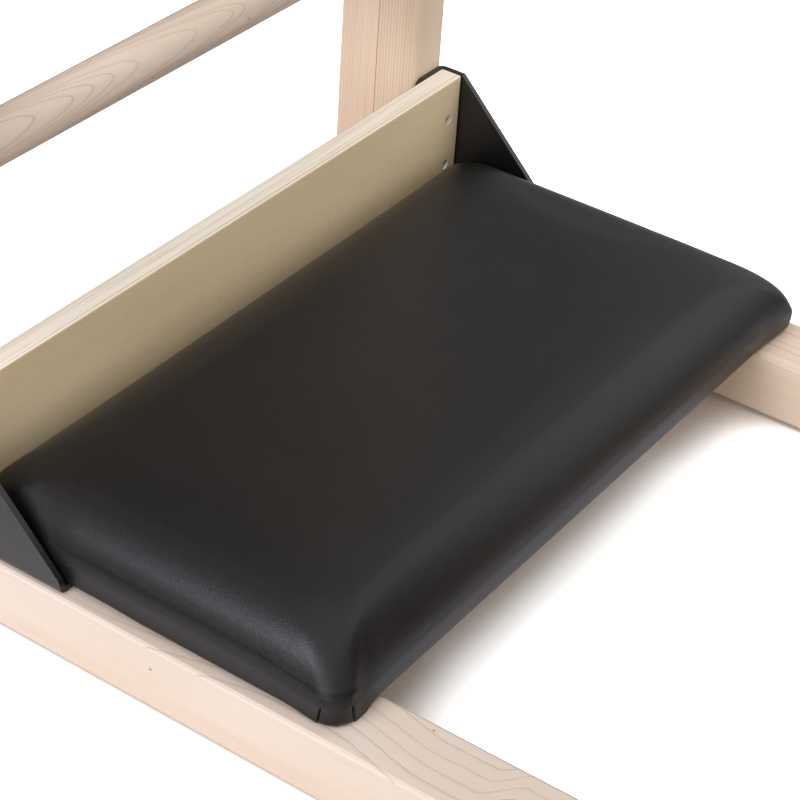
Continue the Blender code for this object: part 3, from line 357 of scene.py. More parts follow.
def gluedTimber(name, axis, seamAxis, seamPlace, cuts):
    graph = newGraph(name)
    point = graph.place()
    across = graph.axes(point)[seamAxis] - seamPlace
    first, second = (woodSurface(graph, point, axis, cut) for cut in cuts)
    beyond = graph.step(across, -gluedLook["seamHalf"], gluedLook["seamHalf"])
    colour = graph.mix(beyond, first[0], second[0])
    roughness = graph.choose(beyond, first[1], second[1])
    height = graph.choose(beyond, first[2], second[2])
    half = gluedLook["lineHalf"]
    glue = graph.step(graph.unary("ABSOLUTE", across), half, half * 2, gluedLook["lineShare"],
                      0.0)
    colour = graph.mix(glue, colour, gluedLook["lineTone"])
    return graph.finish(colour, roughness, height, first[3])


# panels of staves glued edge to edge, each stave with its own rings and tone
staveLook = {"width": 0.072, "alongStep": 0.731, "pithStep": 0.045, "sideStep": 0.05,
             "toneSpread": 0.30}


def staveTimber(name, axis, acrossAxis, cut):
    graph = newGraph(name)
    point = graph.place()
    alongAxis = grainAxes[axis][0]
    stave = graph.unary("FLOOR", graph.axes(point)[acrossAxis] / staveLook["width"] + 0.5)
    own = graph.draw(stave + cut["seed"])
    shift = [0.0, 0.0, 0.0]
    shift[alongAxis] = stave * staveLook["alongStep"]
    shift[3 - acrossAxis - alongAxis] = (own - 0.5) * staveLook["pithStep"]
    shift[acrossAxis] = stave * (-staveLook["width"]) + (own - 0.5) * staveLook["sideStep"]
    colour, *others = woodSurface(graph, point + graph.vector(*shift), axis, cut)
    colour = graph.mix(own * staveLook["toneSpread"], colour, mapleLook["warm"])
    return graph.finish(colour, *others)


# plywood: a calm face veneer, and pale plies on its edges with one clear glue line
plyLook = {
    "face": {**mapleLook, "pale": tone(238, 216, 178), "warm": tone(226, 200, 160),
             "ringLine": tone(190, 156, 114), "fleckTone": tone(176, 146, 108),
             "fibre": (26.0, 520.0, 3.0, 0.6), "streak": (1.4, 60.0, 3.0, 0.55),
             "roughness": 0.44},
    "edgeRoughness": 0.55,
    "waver": 0.16,                # of the glue lines, as a share of a ply
    "edgePale": tone(247, 237, 222),
    "edgeDark": tone(233, 218, 199),
    "glue": tone(128, 94, 64),
    "plyThickness": 0.0021,
    "glueHalf": 0.00016,
    "firstGlue": 0.75,
    "otherGlue": 0.30,            # how clear the deeper glue lines are, where they show at all
}


def plywood(name, axis, depth, cut, faceMask):
    # depth(graph, parts) is the distance into the sheet, faceMask(graph) is 1 on its faces
    graph = newGraph(name)
    point = graph.place()
    parts = graph.axes(point)
    colour, roughness, *others = woodSurface(graph, point, axis, cut, plyLook["face"])
    layers = depth(graph, parts) / plyLook["plyThickness"]
    number = graph.unary("ROUND", layers)
    along, u, v = (parts[i] for i in grainAxes[axis])
    streak = graph.noise(graph.vector(along * 5.0, u * 420.0, v * 60.0), 1.0, 3.0)
    edge = graph.mix(graph.step(streak, 0.35, 0.70), plyLook["edgePale"], plyLook["edgeDark"])
    waver = graph.noise(graph.vector(along * 14.0, 0.0, 0.0), 1.0, 2.0) - 0.5
    near = graph.unary("ABSOLUTE", layers - number + waver * plyLook["waver"])
    half = plyLook["glueHalf"] / plyLook["plyThickness"]
    shown = graph.step(graph.noise(graph.vector(along * 9.0, number * 3.7, 0.0), 1.0, 1.0),
                       0.52, 0.60, 0.0, plyLook["otherGlue"])
    first = graph.step(graph.unary("ABSOLUTE", number - 1.0), 0.2, 0.4, 1.0, 0.0)
    strength = graph.choose(first, shown, plyLook["firstGlue"])
    glue = graph.step(near, half, half * 2, 1.0, 0.0) * strength
    edge = graph.mix(glue, edge, plyLook["glue"])
    flat = faceMask(graph)
    return graph.finish(graph.mix(flat, edge, colour),
                        graph.choose(flat, plyLook["edgeRoughness"], roughness), *others)


def facingMask(axis, low, high, start=0.0, end=1.0):
    # goes from start to end as the surface turns to face along this axis
    def mask(graph):
        facing = graph.axes(graph.localNormal("True Normal"))[axis]
        return graph.step(graph.unary("ABSOLUTE", facing), low, high, start, end)
    return mask


# black upholstery vinyl: soft sheen, pores too fine to count from a step away
vinylLook = {
    "tone": (0.0056, 0.0052, 0.0052, 1.0),
    "worn": (0.0076, 0.0071, 0.0070, 1.0),
    "roughness": 0.33,
    "shine": 0.34,
    # the painted shade that darkens the vinyl in a crease, where the crease would keep the light
    # out: its roughness and shine
    "creaseShadeRoughness": 0.9,         # of the dark in a crease
    "creaseShadeShine": 0.05,
    "grainScale": 780.0,          # cells per metre
    "grainBend": 0.0011,
    "grainHeight": 0.00005,
}


def vinyl(name, shade=None):
    # shade(graph, parts) is the share of painted shade, a dark shader mixed in where a crease
    # would keep the light out
    look = vinylLook
    graph = newGraph(name)
    point = graph.place()
    bent = point + (graph.noise(point, 260.0, 2.0, out=1) - 0.5) * look["grainBend"]
    cells = graph.add("TexVoronoi", {"feature": "DISTANCE_TO_EDGE"},
                      {"Vector": bent, "Scale": look["grainScale"]})
    pores = graph.step(cells, 0.02, 0.22)
    fine = graph.noise(point, 1900.0, 2.0)
    cloud = graph.noise(point, 9.0, 3.0)
    wear = graph.step(graph.noise(point, 24.0, 4.0, 0.6), 0.45, 0.75)
    colour = graph.mix(wear * 0.5, look["tone"], look["worn"])
    roughness = look["roughness"] + (cloud - 0.5) * 0.08 - pores * 0.03
    shader = graph.surface(colour, roughness, pores + fine * 0.35, look["grainHeight"],
                           {"Specular IOR Level": look["shine"]})
    if shade is not None:
        # painted shade: a near-black rough shader mixed in along the crease
        paintedShade = graph.add("BsdfPrincipled", sockets={
            "Base Color": look["tone"], "Roughness": look["creaseShadeRoughness"],
            "Specular IOR Level": look["creaseShadeShine"]})
        share = shade(graph, graph.axes(point))
        shader = graph.add("MixShader", sockets={0: share, 1: shader, 2: paintedShade})
    return graph.output(shader)


# plain finishes: clouds blend a tone with the other one, over fine bumps of this scale
plainLook = {"share": 1.0, "metallic": 0.0, "shine": 0.5, "detail": 3.0, "swing": 0.15}
plainLooks = {
    "black powder coat": {"tone": (0.0060, 0.0058, 0.0062, 1.0),
                          "other": (0.0085, 0.0083, 0.0090, 1.0), "share": 0.3, "shine": 0.62,
                          "roughness": 0.36, "swing": 0.1, "detail": 2.0, "cloudScale": 30.0,
                          "scale": 900.0, "height": 0.00004},
    "zinc": {"tone": tone(196, 198, 200), "other": tone(168, 172, 178), "metallic": 1.0,
             "roughness": 0.34, "cloudScale": 48.0, "scale": 240.0, "height": 0.00002},
    "brass": {"tone": tone(206, 170, 96), "other": tone(178, 140, 72), "metallic": 1.0,
              "roughness": 0.30, "cloudScale": 52.0, "scale": 260.0, "height": 0.00002},
    "rubber": {"tone": tone(30, 30, 31), "other": tone(44, 43, 42), "roughness": 0.78,
               "cloudScale": 140.0, "scale": 700.0, "height": 0.00006},
    "moulded": {"tone": tone(33, 33, 35), "other": tone(42, 42, 44), "roughness": 0.40,
                "cloudScale": 220.0, "scale": 1100.0, "height": 0.00005},
    "glide": {"tone": tone(40, 40, 42), "other": tone(56, 56, 58), "roughness": 0.55,
              "cloudScale": 100.0, "scale": 500.0, "height": 0.00003},
}


def plainFinish(name):
    look = {**plainLook, **plainLooks[name]}
    graph = newGraph(name)
    point = graph.place()
    cloud = graph.noise(point, look["cloudScale"], look["detail"])
    fine = graph.noise(point, look["scale"], 2.0)
    colour = graph.mix(cloud * look["share"], look["tone"], look["other"])
    roughness = look["roughness"] + (cloud - 0.5) * look["swing"]
    return graph.finish(colour, roughness, fine, look["height"],
                        {"Metallic": look["metallic"], "Specular IOR Level": look["shine"]})


# places in the frame that the finishes and the covers are measured from
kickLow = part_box("kick_board")[0]
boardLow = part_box("step_board")[0]
uprightLow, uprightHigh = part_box("upright_left")
shellLow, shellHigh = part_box("barrel_shell")
uprightSeam = (uprightLow.y + uprightHigh.y) / 2
shellRadius = (shellHigh.y - shellLow.y) / 2
barrelCentre = Vector((0.0, (shellLow.y + shellHigh.y) / 2, shellHigh.z - shellRadius))
# where each piece's growth rings lie: the pith beside the piece, its lean along the grain
railCuts = {
    "left": {"pith": (-0.8980, 0.03), "seed": 3.1, "contrast": 0.52, "wander": 0.008,
             "ringSpacing": 0.0132, "flecks": 0.34, "streaks": 0.5,
             "bends": [(0.112, 0.084, 0.024), (0.145, 0.225, 0.012), (0.26, 0.42, -0.030)],
             "specks": [(-0.2806, 0.1660, 0.0598, 0.0010), (-0.3370, 0.3700, 0.0400, 0.0013)],
             "look": {"pale": tone(215, 201, 186), "warm": tone(205, 185, 165)}},
    "right": {"pith": (0.690, 0.130), "seed": 8.7, "contrast": 0.35, "ringSpacing": 0.0085,
              "look": {"pale": tone(234, 216, 196), "warm": tone(224, 200, 176)}},
}
# shared by the two boards of each upright
uprightGrain = {"wander": 0.003, "ragged": 0.0006, "flecks": 0.15}
uprightWaves = {"slow": (3.0, 30.0, 1.0, 0.5)}
kickCut = {"pith": (3.0, 0.30), "seed": 4.4, "contrast": 0.10, "flecks": 0.80,
           "streaks": 0.35, "ringSpacing": 0.03}
shellCut = {"pith": (-2.0, 0.1), "lean": (0.01, 0.01), "seed": 9.3, "contrast": 0.1}
boardCut = {"pith": (0.1, -1.4), "lean": (0.02, 0.01), "seed": 6.1, "contrast": 0.15}
# the rungs are turned from flat-sawn stock, so each ring shows as a long arch on the face that
# looks up and forward; the arches of the first rung end at these places along it
rungGrain = {"pithDistance": 0.060, "towardPith": (0.809, -0.588), "slope": 0.050,
             "archEnds": [-0.262, -0.214, -0.176, -0.136, -0.114, -0.090, -0.062, 0.0125,
                          0.0586, 0.075, 0.142, 0.171, 0.230],
             "archShift": 0.031,  # of the other rungs' arches
             "specks": ((-0.0442, -0.28), (0.0753, 0.03)),  # place and angle on the first rung
             "speck": 0.0009}
# which plain finish the small parts get, by how their names start
plainParts = {
    "black powder coat": ("step_bracket_",),
    "moulded": ("clamp_knob_",),
    "brass": ("clamp_insert_",),
    "glide": ("glide_strip_",),
    "rubber": ("step_bumper_", "foot_"),
    "zinc": ("clamp_stud_", "clamp_washer_", "upright_bolt_", "runner_bolt_", "kick_screw_",
             "bracket_screw_", "step_screw_"),
}


def dress(name, material):
    nodes[name].data.materials.clear()
    nodes[name].data.materials.append(material)


def smoothShade(name, limit=math.radians(38)):
    # joins the facets of a round piece into one smooth shade, up to its sharp edges
    weld = nodes[name].modifiers.new("Weld", "WELD")
    weld.merge_threshold = 0.00001
    nodes[name].data.shade_smooth()
    nodes[name].data.set_sharp_from_angle(angle=limit)


def uprightCuts(sign):
    # the front and the rear board of an upright, left with -1 and right with 1
    return [{**uprightGrain, "pith": (0.10 * sign, -0.9), "lean": (0.0, 0.004),
             "seed": 5.2 + sign, "contrast": 0.22, "ringSpacing": 0.0031, "lineWidth": 0.0008,
             "look": {**uprightWaves, "pale": tone(238, 215, 190),
                      "warm": tone(230, 201, 174)}},
            {**uprightGrain, "pith": (-0.14 * sign, 1.9), "lean": (0.0, -0.006),
             "seed": 1.7 + sign, "contrast": 0.20, "ringSpacing": 0.0027, "lineWidth": 0.0007,
             "look": {**uprightWaves, "pale": tone(240, 217, 194),
                      "warm": tone(232, 205, 178)}}]


def rungCut(number):
    low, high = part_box(f"rung_{number}")
    middleY, middleZ = (low.y + high.y) / 2, (low.z + high.z) / 2
    radius = (high.z - low.z) / 2
    look = rungGrain
    towardY, towardZ = look["towardPith"]
    reach, slope = look["pithDistance"], look["slope"]
    cut = {"pith": (middleY + towardY * reach, middleZ + towardZ * reach),
           "round": (middleY, middleZ, radius),
           "lean": (-towardY * slope, -towardZ * slope), "seed": 1.9 * number,
           "contrast": 0.28, "wander": 0.007, "ragged": 0.0009, "flecks": 0.22,
           "steepness": (0.0, 0.04), "lineWidth": 0.00032,
           "look": {"pale": tone(228, 210, 194), "warm": tone(218, 196, 176)}}
    ends = look["archEnds"]
    if number == 1:
        cut["specks"] = [(place, middleY - radius * math.cos(angle),
                          middleZ + radius * math.sin(angle), look["speck"])
                         for place, angle in look["specks"]]
    else:
        ends = [end + look["archShift"] * number * math.sin(7 * number + 40 * end)
                for end in ends]
    cut["ringRadii"] = [reach + radius - slope * end for end in ends]
    return cut


def barCut(name, seed):
    low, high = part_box(name)
    return {"pith": ((low.y + high.y) / 2 + 0.25, (low.z + high.z) / 2 - 0.16),
            "lean": (0.02, 0.01), "seed": seed, "contrast": 0.35, "ringSpacing": 0.0065}


def shellDepth(graph, parts):
    return graph.hypot(parts[1] - barrelCentre.y, parts[2] - barrelCentre.z)


for finish, starts in plainParts.items():
    material = plainFinish(finish)
    for name in nodes:
        if name.startswith(starts):
            dress(name, material)
for side, sign in (("left", -1), ("right", 1)):
    dress(f"base_rail_{side}", timber(f"maple rail {side}", "Y", railCuts[side]))
    dress(f"upright_{side}", gluedTimber(f"maple upright {side}", "Z", 1, uprightSeam,
                                         uprightCuts(sign)))
    panelCut = {"pith": (sign * 0.2, 0.03), "lean": (0.05, 0.02), "seed": 7.0 + sign,
                "contrast": 0.4, "ringSpacing": 0.0045}
    dress(f"barrel_side_{side}", staveTimber(f"maple panel {side}", "Z", 1, panelCut))
    runnerCut = {"pith": (sign * 0.44, 0.10), "lean": (0.01, 0.01), "seed": 11.0 + sign,
                 "contrast": 0.35, "ringSpacing": 0.006}
    dress(f"runner_{side}", timber(f"maple runner {side}", "Y", runnerCut))
    smoothShade(f"clamp_knob_{side}")
for number in (1, 2, 3, 4):
    dress(f"rung_{number}", timber(f"maple rung {number}", "X", rungCut(number)))
    smoothShade(f"rung_{number}")
for number, name in enumerate(("ladder_stretcher", "step_stretcher", "end_stretcher",
                               "barrel_crossbar_front", "barrel_crossbar_rear")):
    dress(name, timber(f"maple bar {number + 1}", "X", barCut(name, 12.0 + number)))
dress("kick_board", plywood("kick board plywood", "X",
                            lambda graph, parts: parts[1] - kickLow.y, kickCut,
                            facingMask(1, 0.80, 0.92)))
dress("step_board", plywood("board plywood", "X",
                            lambda graph, parts: parts[2] - boardLow.z, boardCut,
                            facingMask(2, 0.80, 0.92)))
# the bent shell's two side edges face along X
dress("barrel_shell", plywood("bent plywood", "X", shellDepth, shellCut,
                              facingMask(0, 0.3, 0.6, 1.0, 0.0)))
print("finishes made:", len(bpy.data.materials))


# platform cushion: a stapled band below, a shallow crease, then the padding's full roll
stepPad = {
    # each corner's radius, and how much rounder it gets for each metre of inset on the way up
    "corners": {"frontLeft": (0.0185, 0.45), "frontRight": (0.008, 0.90),
                "backRight": (0.0185, 0.45), "backLeft": (0.0185, 0.45)},
    "leastFlat": 0.0005,          # half of the straight that is left between two corners
    "hemRows": (0.0100, 0.0030, 0.0008),  # insets
    "hemWidth": 0.028,            # folded under the board
    "hemTop": -0.00005,
    "hemBottom": -0.0002,
    "pocketInset": 0.0028,
    "pocketHeight": 0.0183,
    # (inset, height) of the band's face, up to where the roll starts
    "band": [(0.0001, 0.0006), (-0.0002, 0.003), (-0.0003, 0.008), (-0.0002, 0.013),
             (0.0001, 0.0163), (0.0005, 0.0178), (0.0010, 0.0195), (0.0015, 0.0211),
             (0.0020, 0.0228)],
    "bandTop": 0.0220,
    "rollStart": (0.0023, 0.0238),
    "rollTilt": (16.0, 88.0),     # degrees off the vertical where the roll starts and ends
    "rollPower": 1.18,
    "rollLength": 0.056,
    "rollRows": 13,
    "topRows": 20,
    "crown": 0.0005,              # before the air pressure adds the rest
    "calm": (0.045, 0.085),       # insets over which the top comes to rise evenly
    # along a side: (how far from the corner, spacing of the points)
    "spacings": [(0.012, 0.0012), (0.040, 0.0025), (math.inf, 0.0065)],
    "foldSpacing": 0.00064,
    "gaugeRow": 12,               # the row of points along which evening out is measured
    "evenReach": 0.022,
}

# what pulling and stapling did to the vinyl, applied after the padding is filled, and the painted
# shade along its crease
pulledVinyl = {
    "foldTop": 0.0112,            # place of each corner fold from the corner's middle
    "foldBottom": 0.0146,
    "foldDepth": (0.0030, 0.0048),  # of the fold on the side and of the one on the front
    "foldHalf": (0.00046, 0.00062),
    "foldInset": 0.006,           # how far in under the hem they reach
    "foldStart": (-0.0035, 0.001),  # heights over which they come in and fade out
    "foldEnd": (0.013, 0.019),
    "patchInset": 0.0006,         # of the vinyl between the two folds
    "patchEdge": 0.001,
    "patchLift": 0.0010,
    "hang": 0.0012,               # of the hem below the board, forward of the brackets
    "hangInset": (0.003, 0.020),
    "hangFront": (0.170, 0.215),  # from the front edge, where it fades to the rear
    "cornerDrop": [(0.0, 0.0034), (0.022, 0.0056), (0.052, 0.0026)],  # (height, drop)
    "cornerReach": (0.010, 0.050),
    "underside": 0.001,           # height below which that drop fades inwards
    "underInset": (0.012, 0.020),
    "rightShare": 0.35,           # of that drop at the front right corner
    "flapDrop": 0.0052,           # of the front's lower edge beside the left corner's fold
    "flapPlace": 0.027,
    "flapHalf": 0.010,
    "flapFront": (0.004, 0.018),
    "flapLeft": (0.012, 0.017),
    # on the left the band stands taller, up to a crease: (height, inset)
    "leftBand": [(0.0170, -0.0003), (0.0200, 0.0), (0.0240, 0.0008), (0.0260, 0.0013),
                 (0.0282, 0.0026)],
    "leftFoot": (0.006, 0.016),   # heights over which that comes in
    # and the roll above it is a little fuller: (height, outward)
    "leftRoll": [(0.0280, 0.0012), (0.0340, 0.0017), (0.0400, 0.0022), (0.0460, 0.0019),
                 (0.0520, 0.0013), (0.0580, 0.0)],
    "rollCore": 0.030,            # distance from the edges to the middle of the corner's roll
    "rollFrom": (0.0278, 0.0302),
    "cornerRoll": 0.4,            # share of that fullness missing at the front left corner
    # the painted shade along the crease: its height, half-width and darkness
    "creaseHeight": 0.0280,
    "creaseHalf": 0.0016,
    "creaseShade": 0.42,
    "creaseDrop": 0.0066,         # how much lower it runs at the front left corner
    "creaseReach": 0.085,
    "creaseRear": (0.240, 0.290),   # from the front edge, where it fades to the rear
    "creaseFront": (0.012, 0.032),  # from the left edge, where it fades along the front
    "frontOut": 0.0009,
    "leftOut": (0.0021, 0.0005),  # at the front, and this share of the way back
    "leftOutLength": 0.85,
    "outReach": 0.060,
    "rightCornerOut": 0.0034,
    "rightCornerReach": 0.050,
    "rightCornerRise": (-0.020, 0.016),  # heights over which it comes in
}

# each corner's sides as signs along X and Y, and the angle where its arc starts
padCorners = {"frontLeft": (-1, -1, 180), "frontRight": (1, -1, 270),
              "backRight": (1, 1, 0), "backLeft": (-1, 1, 90)}
# the two corners that a straight side runs between
padSides = {"left": ("backLeft", "frontLeft"), "front": ("frontLeft", "frontRight"),
            "right": ("frontRight", "backRight"), "back": ("backRight", "backLeft")}


def sideSpacings(length, look):
    # shares of a straight side, closely spaced near its two ends
    places = [0.0]
    while places[-1] < length / 2:
        pitch = next(pitch for reach, pitch in look["spacings"] if places[-1] < reach)
        places.append(places[-1] + pitch)
    half = [place / places[-1] / 2 for place in places]
    return half + [1 - share for share in reversed(half[:-1])]


def padStations(halfX, halfY, look):
    # (stretch, share) all round, from the middle of the left side by way of the front
    radius = look["corners"]["frontLeft"][0]
    short = sideSpacings(2 * (halfY - radius), look)
    long = sideSpacings(2 * (halfX - radius), look)[:-1]
    steps = round(radius * math.pi / 2 / look["foldSpacing"])
    arc = [i / steps for i in range(steps)]
    middle = short.index(0.5)
    stretches = [("left", short[middle:-1]), ("frontLeft", arc), ("front", long),
                 ("frontRight", arc), ("right", short[:-1]), ("backRight", arc),
                 ("back", long), ("backLeft", arc), ("left", short[:middle])]
    return [(stretch, share) for stretch, shares in stretches for share in shares]


def stationPoint(station, halfX, halfY, radii):
    stretch, share = station
    if stretch in padCorners:
        signX, signY, start = padCorners[stretch]
        radius = radii[stretch]
        angle = math.radians(start + 90 * share)
        return (signX * (halfX - radius) + radius * math.cos(angle),
                signY * (halfY - radius) + radius * math.sin(angle))
    alongX = stretch in ("front", "back")
    ends = []
    for corner in padSides[stretch]:
        signX, signY, start = padCorners[corner]
        radius = radii[corner]
        ends.append((signX * (halfX - radius), signY * halfY) if alongX else
                    (signX * halfX, signY * (halfY - radius)))
    (x0, y0), (x1, y1) = ends
    return (x0 + (x1 - x0) * share, y0 + (y1 - y0) * share)


def padProfile(halfY, look):
    # (inset, height) from the pocket's ceiling, round the hem and up to the crown
    inner, hem = look["pocketInset"], look["hemWidth"]
    profile = [(inner, look["pocketHeight"]), (inner, look["pocketHeight"] / 2),
               (inner, look["hemTop"]), (hem, look["hemTop"]), (hem, look["hemBottom"])]
    profile += [(inset, look["hemBottom"]) for inset in look["hemRows"]] + look["band"]
    inset, height = look["rollStart"]
    profile.append((inset, height))
    start, end = look["rollTilt"]
    rows, fine = look["rollRows"], 8
    step = look["rollLength"] / (rows * fine)
    for i in range(rows * fine):
        share = (i + 0.5) / (rows * fine)
        tilt = math.radians(start + (end - start) * share ** look["rollPower"])
        inset += math.sin(tilt) * step
        height += math.cos(tilt) * step
        if i % fine == fine - 1:
            profile.append((inset, height))
    edgeInset, edgeHeight = profile[-1]
    for i in range(1, look["topRows"]):
        share = i / look["topRows"]
        height = edgeHeight + look["crown"] * math.sin(share * math.pi / 2)
        profile.append((edgeInset + share * (halfY - edgeInset), height))
    return profile


def joinRings(bm, rings):
    # quads from each ring of points to the next one
    for lower, upper in zip(rings, rings[1:]):
        for i in range(len(lower)):
            after = (i + 1) % len(lower)
            bm.faces.new((lower[i], lower[after], upper[after], upper[i]))


def closeEnds(bm, rings):
    # joins the front half of the first and of the last ring to its back half
    for ring in (rings[0], rings[-1]):
        count = len(ring)
        for i in range(count // 2):
            quad = (ring[i], ring[i + 1], ring[(count - i - 1) % count],
                    ring[(count - i) % count])
            bm.faces.new(list(dict.fromkeys(quad)))


def buildStepPad(look):
    low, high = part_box("step_cushion")
    halfX, halfY = (high.x - low.x) / 2, (high.y - low.y) / 2
    middle = Vector(((low.x + high.x) / 2, (low.y + high.y) / 2, low.z))
    stations = padStations(halfX, halfY, look)
    bm = bmesh.new()
    rings = []
    for inset, height in padProfile(halfY, look):
        most = halfY - inset - look["leastFlat"]
        radii = {corner: min(radius + growth * max(inset, 0.0), most)
                 for corner, (radius, growth) in look["corners"].items()}
        places = [stationPoint(station, halfX - inset, halfY - inset, radii)
                  for station in stations]
        rings.append([bm.verts.new(middle + Vector((x, y, height))) for x, y in places])
    joinRings(bm, rings)
    closeEnds(bm, rings)
    return bm, middle, halfX, halfY, len(stations)


# the short cloth run that fills the padding of both cushions
airFill = {
    "pressure": 3.0,
    "bending": 10.0,
    "compression": 2.0,
    "quality": 5,
    "frames": 20,
    "fullness": 0.5,              # share of the cloth's move that the foam lets happen
    "cap": 0.004,
}


def evenOut(moves, places, reach, around):
    # averages the moves along each row with a soft window, which leaves no small wrinkles
    gaps = numpy.abs(places[:, None] - places[None, :])
    if around:
        gaps = numpy.minimum(gaps, around - gaps)
    shares = numpy.exp(-0.5 * (gaps / reach) ** 2) * numpy.gradient(places)[None, :]
    shares /= shares.sum(axis=1, keepdims=True)
    return numpy.einsum("ij,rjk->rik", shares, moves)


def inflate(piece, held, look, ringSize, alongRings, calm=None):
    # a short cloth run with air pressure fills the padding, and its result stays in the mesh
    group = piece.vertex_groups.new(name="held")
    group.add(held, 1.0, "REPLACE")
    cloth = piece.modifiers.new("Cloth", "CLOTH")
    cloth.settings.vertex_group_mass = group.name
    cloth.settings.use_pressure = True
    cloth.settings.uniform_pressure_force = airFill["pressure"]
    cloth.settings.effector_weights.gravity = 0.0
    cloth.settings.quality = airFill["quality"]
    cloth.settings.bending_stiffness = airFill["bending"]
    cloth.settings.compression_stiffness = airFill["compression"]
    scene = bpy.context.scene
    for number in range(1, airFill["frames"] + 1):
        scene.frame_set(number)
    evaluated = piece.evaluated_get(bpy.context.evaluated_depsgraph_get())
    moved = numpy.array([vertex.co[:] for vertex in evaluated.data.vertices])
    piece.modifiers.remove(cloth)
    piece.vertex_groups.remove(group)
    scene.frame_set(1)
    before = numpy.array([vertex.co[:] for vertex in piece.data.vertices])
    rows = (moved - before).reshape(-1, ringSize, 3)
    grid = before.reshape(-1, ringSize, 3)
    if not alongRings:
        rows, grid = rows.transpose(1, 0, 2), grid.transpose(1, 0, 2)
    line = grid[look["gaugeRow"]]
    steps = numpy.linalg.norm(numpy.diff(line, axis=0), axis=1)
    places = numpy.concatenate(([0.0], numpy.cumsum(steps)))
    around = places[-1] + numpy.linalg.norm(line[0] - line[-1]) if alongRings else 0.0
    rows = evenOut(rows, places, look["evenReach"], around)
    if calm is not None:
        level = rows.mean(axis=1, keepdims=True) * numpy.array((0.0, 0.0, 1.0))
        calm = numpy.array(calm)[:, None, None]
        rows = rows * (1 - calm) + level * calm
    if not alongRings:
        rows = rows.transpose(1, 0, 2)
    moves = rows.reshape(-1, 3) * airFill["fullness"]
    lengths = numpy.linalg.norm(moves, axis=1)
    print(piece.name, "filled by up to", round(float(lengths.max()) * 1000, 2), "mm")
    moves *= numpy.minimum(1.0, airFill["cap"] / numpy.maximum(lengths, 1e-9))[:, None]
    for vertex, place in zip(piece.data.vertices, before + moves):
        vertex.co = place


def subdivide(piece, levels=1):
    smoother = piece.modifiers.new("Subdivision", "SUBSURF")
    smoother.levels = smoother.render_levels = levels
    mesh = bpy.data.meshes.new_from_object(
        piece.evaluated_get(bpy.context.evaluated_depsgraph_get()))
    piece.modifiers.remove(smoother)
    old = piece.data
    piece.data = mesh
    bpy.data.meshes.remove(old)
    mesh.shade_smooth()


def readOff(height, pairs):
    # the value at this height, from rising (height, value) pairs
    return float(numpy.interp(height, *zip(*pairs)))


# a point of the platform's cover, by its height and its distances from the four edges
class PadPoint:
    def __init__(self, local, halfX, halfY):
        self.height = local.z
        self.left, self.right = halfX + local.x, halfX - local.x
        self.front, self.rear = halfY + local.y, halfY - local.y
        self.inset = min(self.left, self.right, self.front, self.rear)
        self.low = 1 - ease(0.0, stepPad["bandTop"], local.z)

    def outward(self, radius):
        # from the middle of a front left corner of this radius out to the point
        return Vector((min(self.left - radius, 0.0), min(self.front - radius, 0.0), 0.0))

    def alongEdge(self, radius):
        # length from that corner's middle, negative on the side and positive on the front
        quarter = radius * math.pi / 4
        if self.left >= radius and self.front <= radius:
            return quarter + self.left - radius
        if self.front >= radius:
            return radius - self.front - quarter
        return radius * math.atan2(radius - self.front, radius - self.left) - quarter


def cornerFolds(at, radius, look):
    # two folds in the front left corner's band, and the patch of vinyl between them
    outward = at.outward(radius)
    if outward.length == 0 or at.inset >= look["foldInset"]:
        return Vector()
    along = at.alongEdge(radius)
    onBand = ease(*look["foldStart"], at.height) * (1 - ease(*look["foldEnd"], at.height))
    share = min(max(at.height / stepPad["bandTop"], 0.0), 1.0)
    place = look["foldBottom"] + (look["foldTop"] - look["foldBottom"]) * share
    onFront = along > 0
    gap = abs(abs(along) - place) / look["foldHalf"][onFront]
    fold = look["foldDepth"][onFront] * math.exp(-gap * gap)
    onPatch = 1 - ease(place - look["patchEdge"], place, abs(along))
    shift = -outward.normalized() * (fold + look["patchInset"] * onPatch) * onBand
    shift.z += look["patchLift"] * onPatch * at.low
    return shift


def drawnDown(at, look):
    # how far down the hem hangs, the front corners are pulled and the flap beside the fold lies
    hang = look["hang"] * (1 - ease(*look["hangFront"], at.front))
    down = hang * at.low * (1 - ease(*look["hangInset"], at.inset))
    corner = math.hypot(min(at.left, at.right), at.front)
    pull = 1 - ease(*look["cornerReach"], corner)
    if at.right < at.left:
        pull *= look["rightShare"]
    if at.height < look["underside"]:
        pull *= 1 - ease(*look["underInset"], at.inset)
    down += readOff(at.height, look["cornerDrop"]) * pull
    flap = math.exp(-((at.left - look["flapPlace"]) / look["flapHalf"]) ** 2) * at.low
    flap *= (1 - ease(*look["flapFront"], at.front)) * ease(*look["flapLeft"], at.left)
    return down + look["flapDrop"] * flap


def creasedRoll(at, raised, radius, look):
    # on the left and round its corner the band stands flush up to the crease, and the roll
    # above is fuller
    toward = at.outward(look["rollCore"])
    if toward.length == 0 or at.height <= look["leftFoot"][0]:
        return Vector()
    nearness = 1 - ease(0.0, look["creaseReach"], at.front)
    height = at.height + raised + look["creaseDrop"] * nearness
    flush = radius - at.outward(radius).length - readOff(height, look["leftBand"])
    over = readOff(height, look["leftRoll"]) * (1 - look["cornerRoll"] * nearness)
    out = flush + (over - flush) * ease(*look["rollFrom"], height)
    out *= ease(*look["leftFoot"], at.height)
    out *= 1 - ease(*look["creaseRear"], at.front)
    out *= 1 - ease(*look["creaseFront"], at.left - at.front)
    return toward.normalized() * out


def filledOut(at, look):
    # how far the padding fills the front, the left side and the right front corner
    ahead = look["frontOut"] * (1 - ease(0.0, look["outReach"], at.front))
    fore, rear = look["leftOut"]
    back = ease(0.0, (at.front + at.rear) * look["leftOutLength"], at.front)
    aside = (fore + (rear - fore) * back) * (1 - ease(0.0, look["outReach"], at.left))
    away = math.hypot(at.right, at.front)
    full = look["rightCornerOut"] * (1 - ease(0.0, look["rightCornerReach"], away))
    full *= ease(*look["rightCornerRise"], at.height)
    return Vector((full - aside, -full - ahead, 0.0))


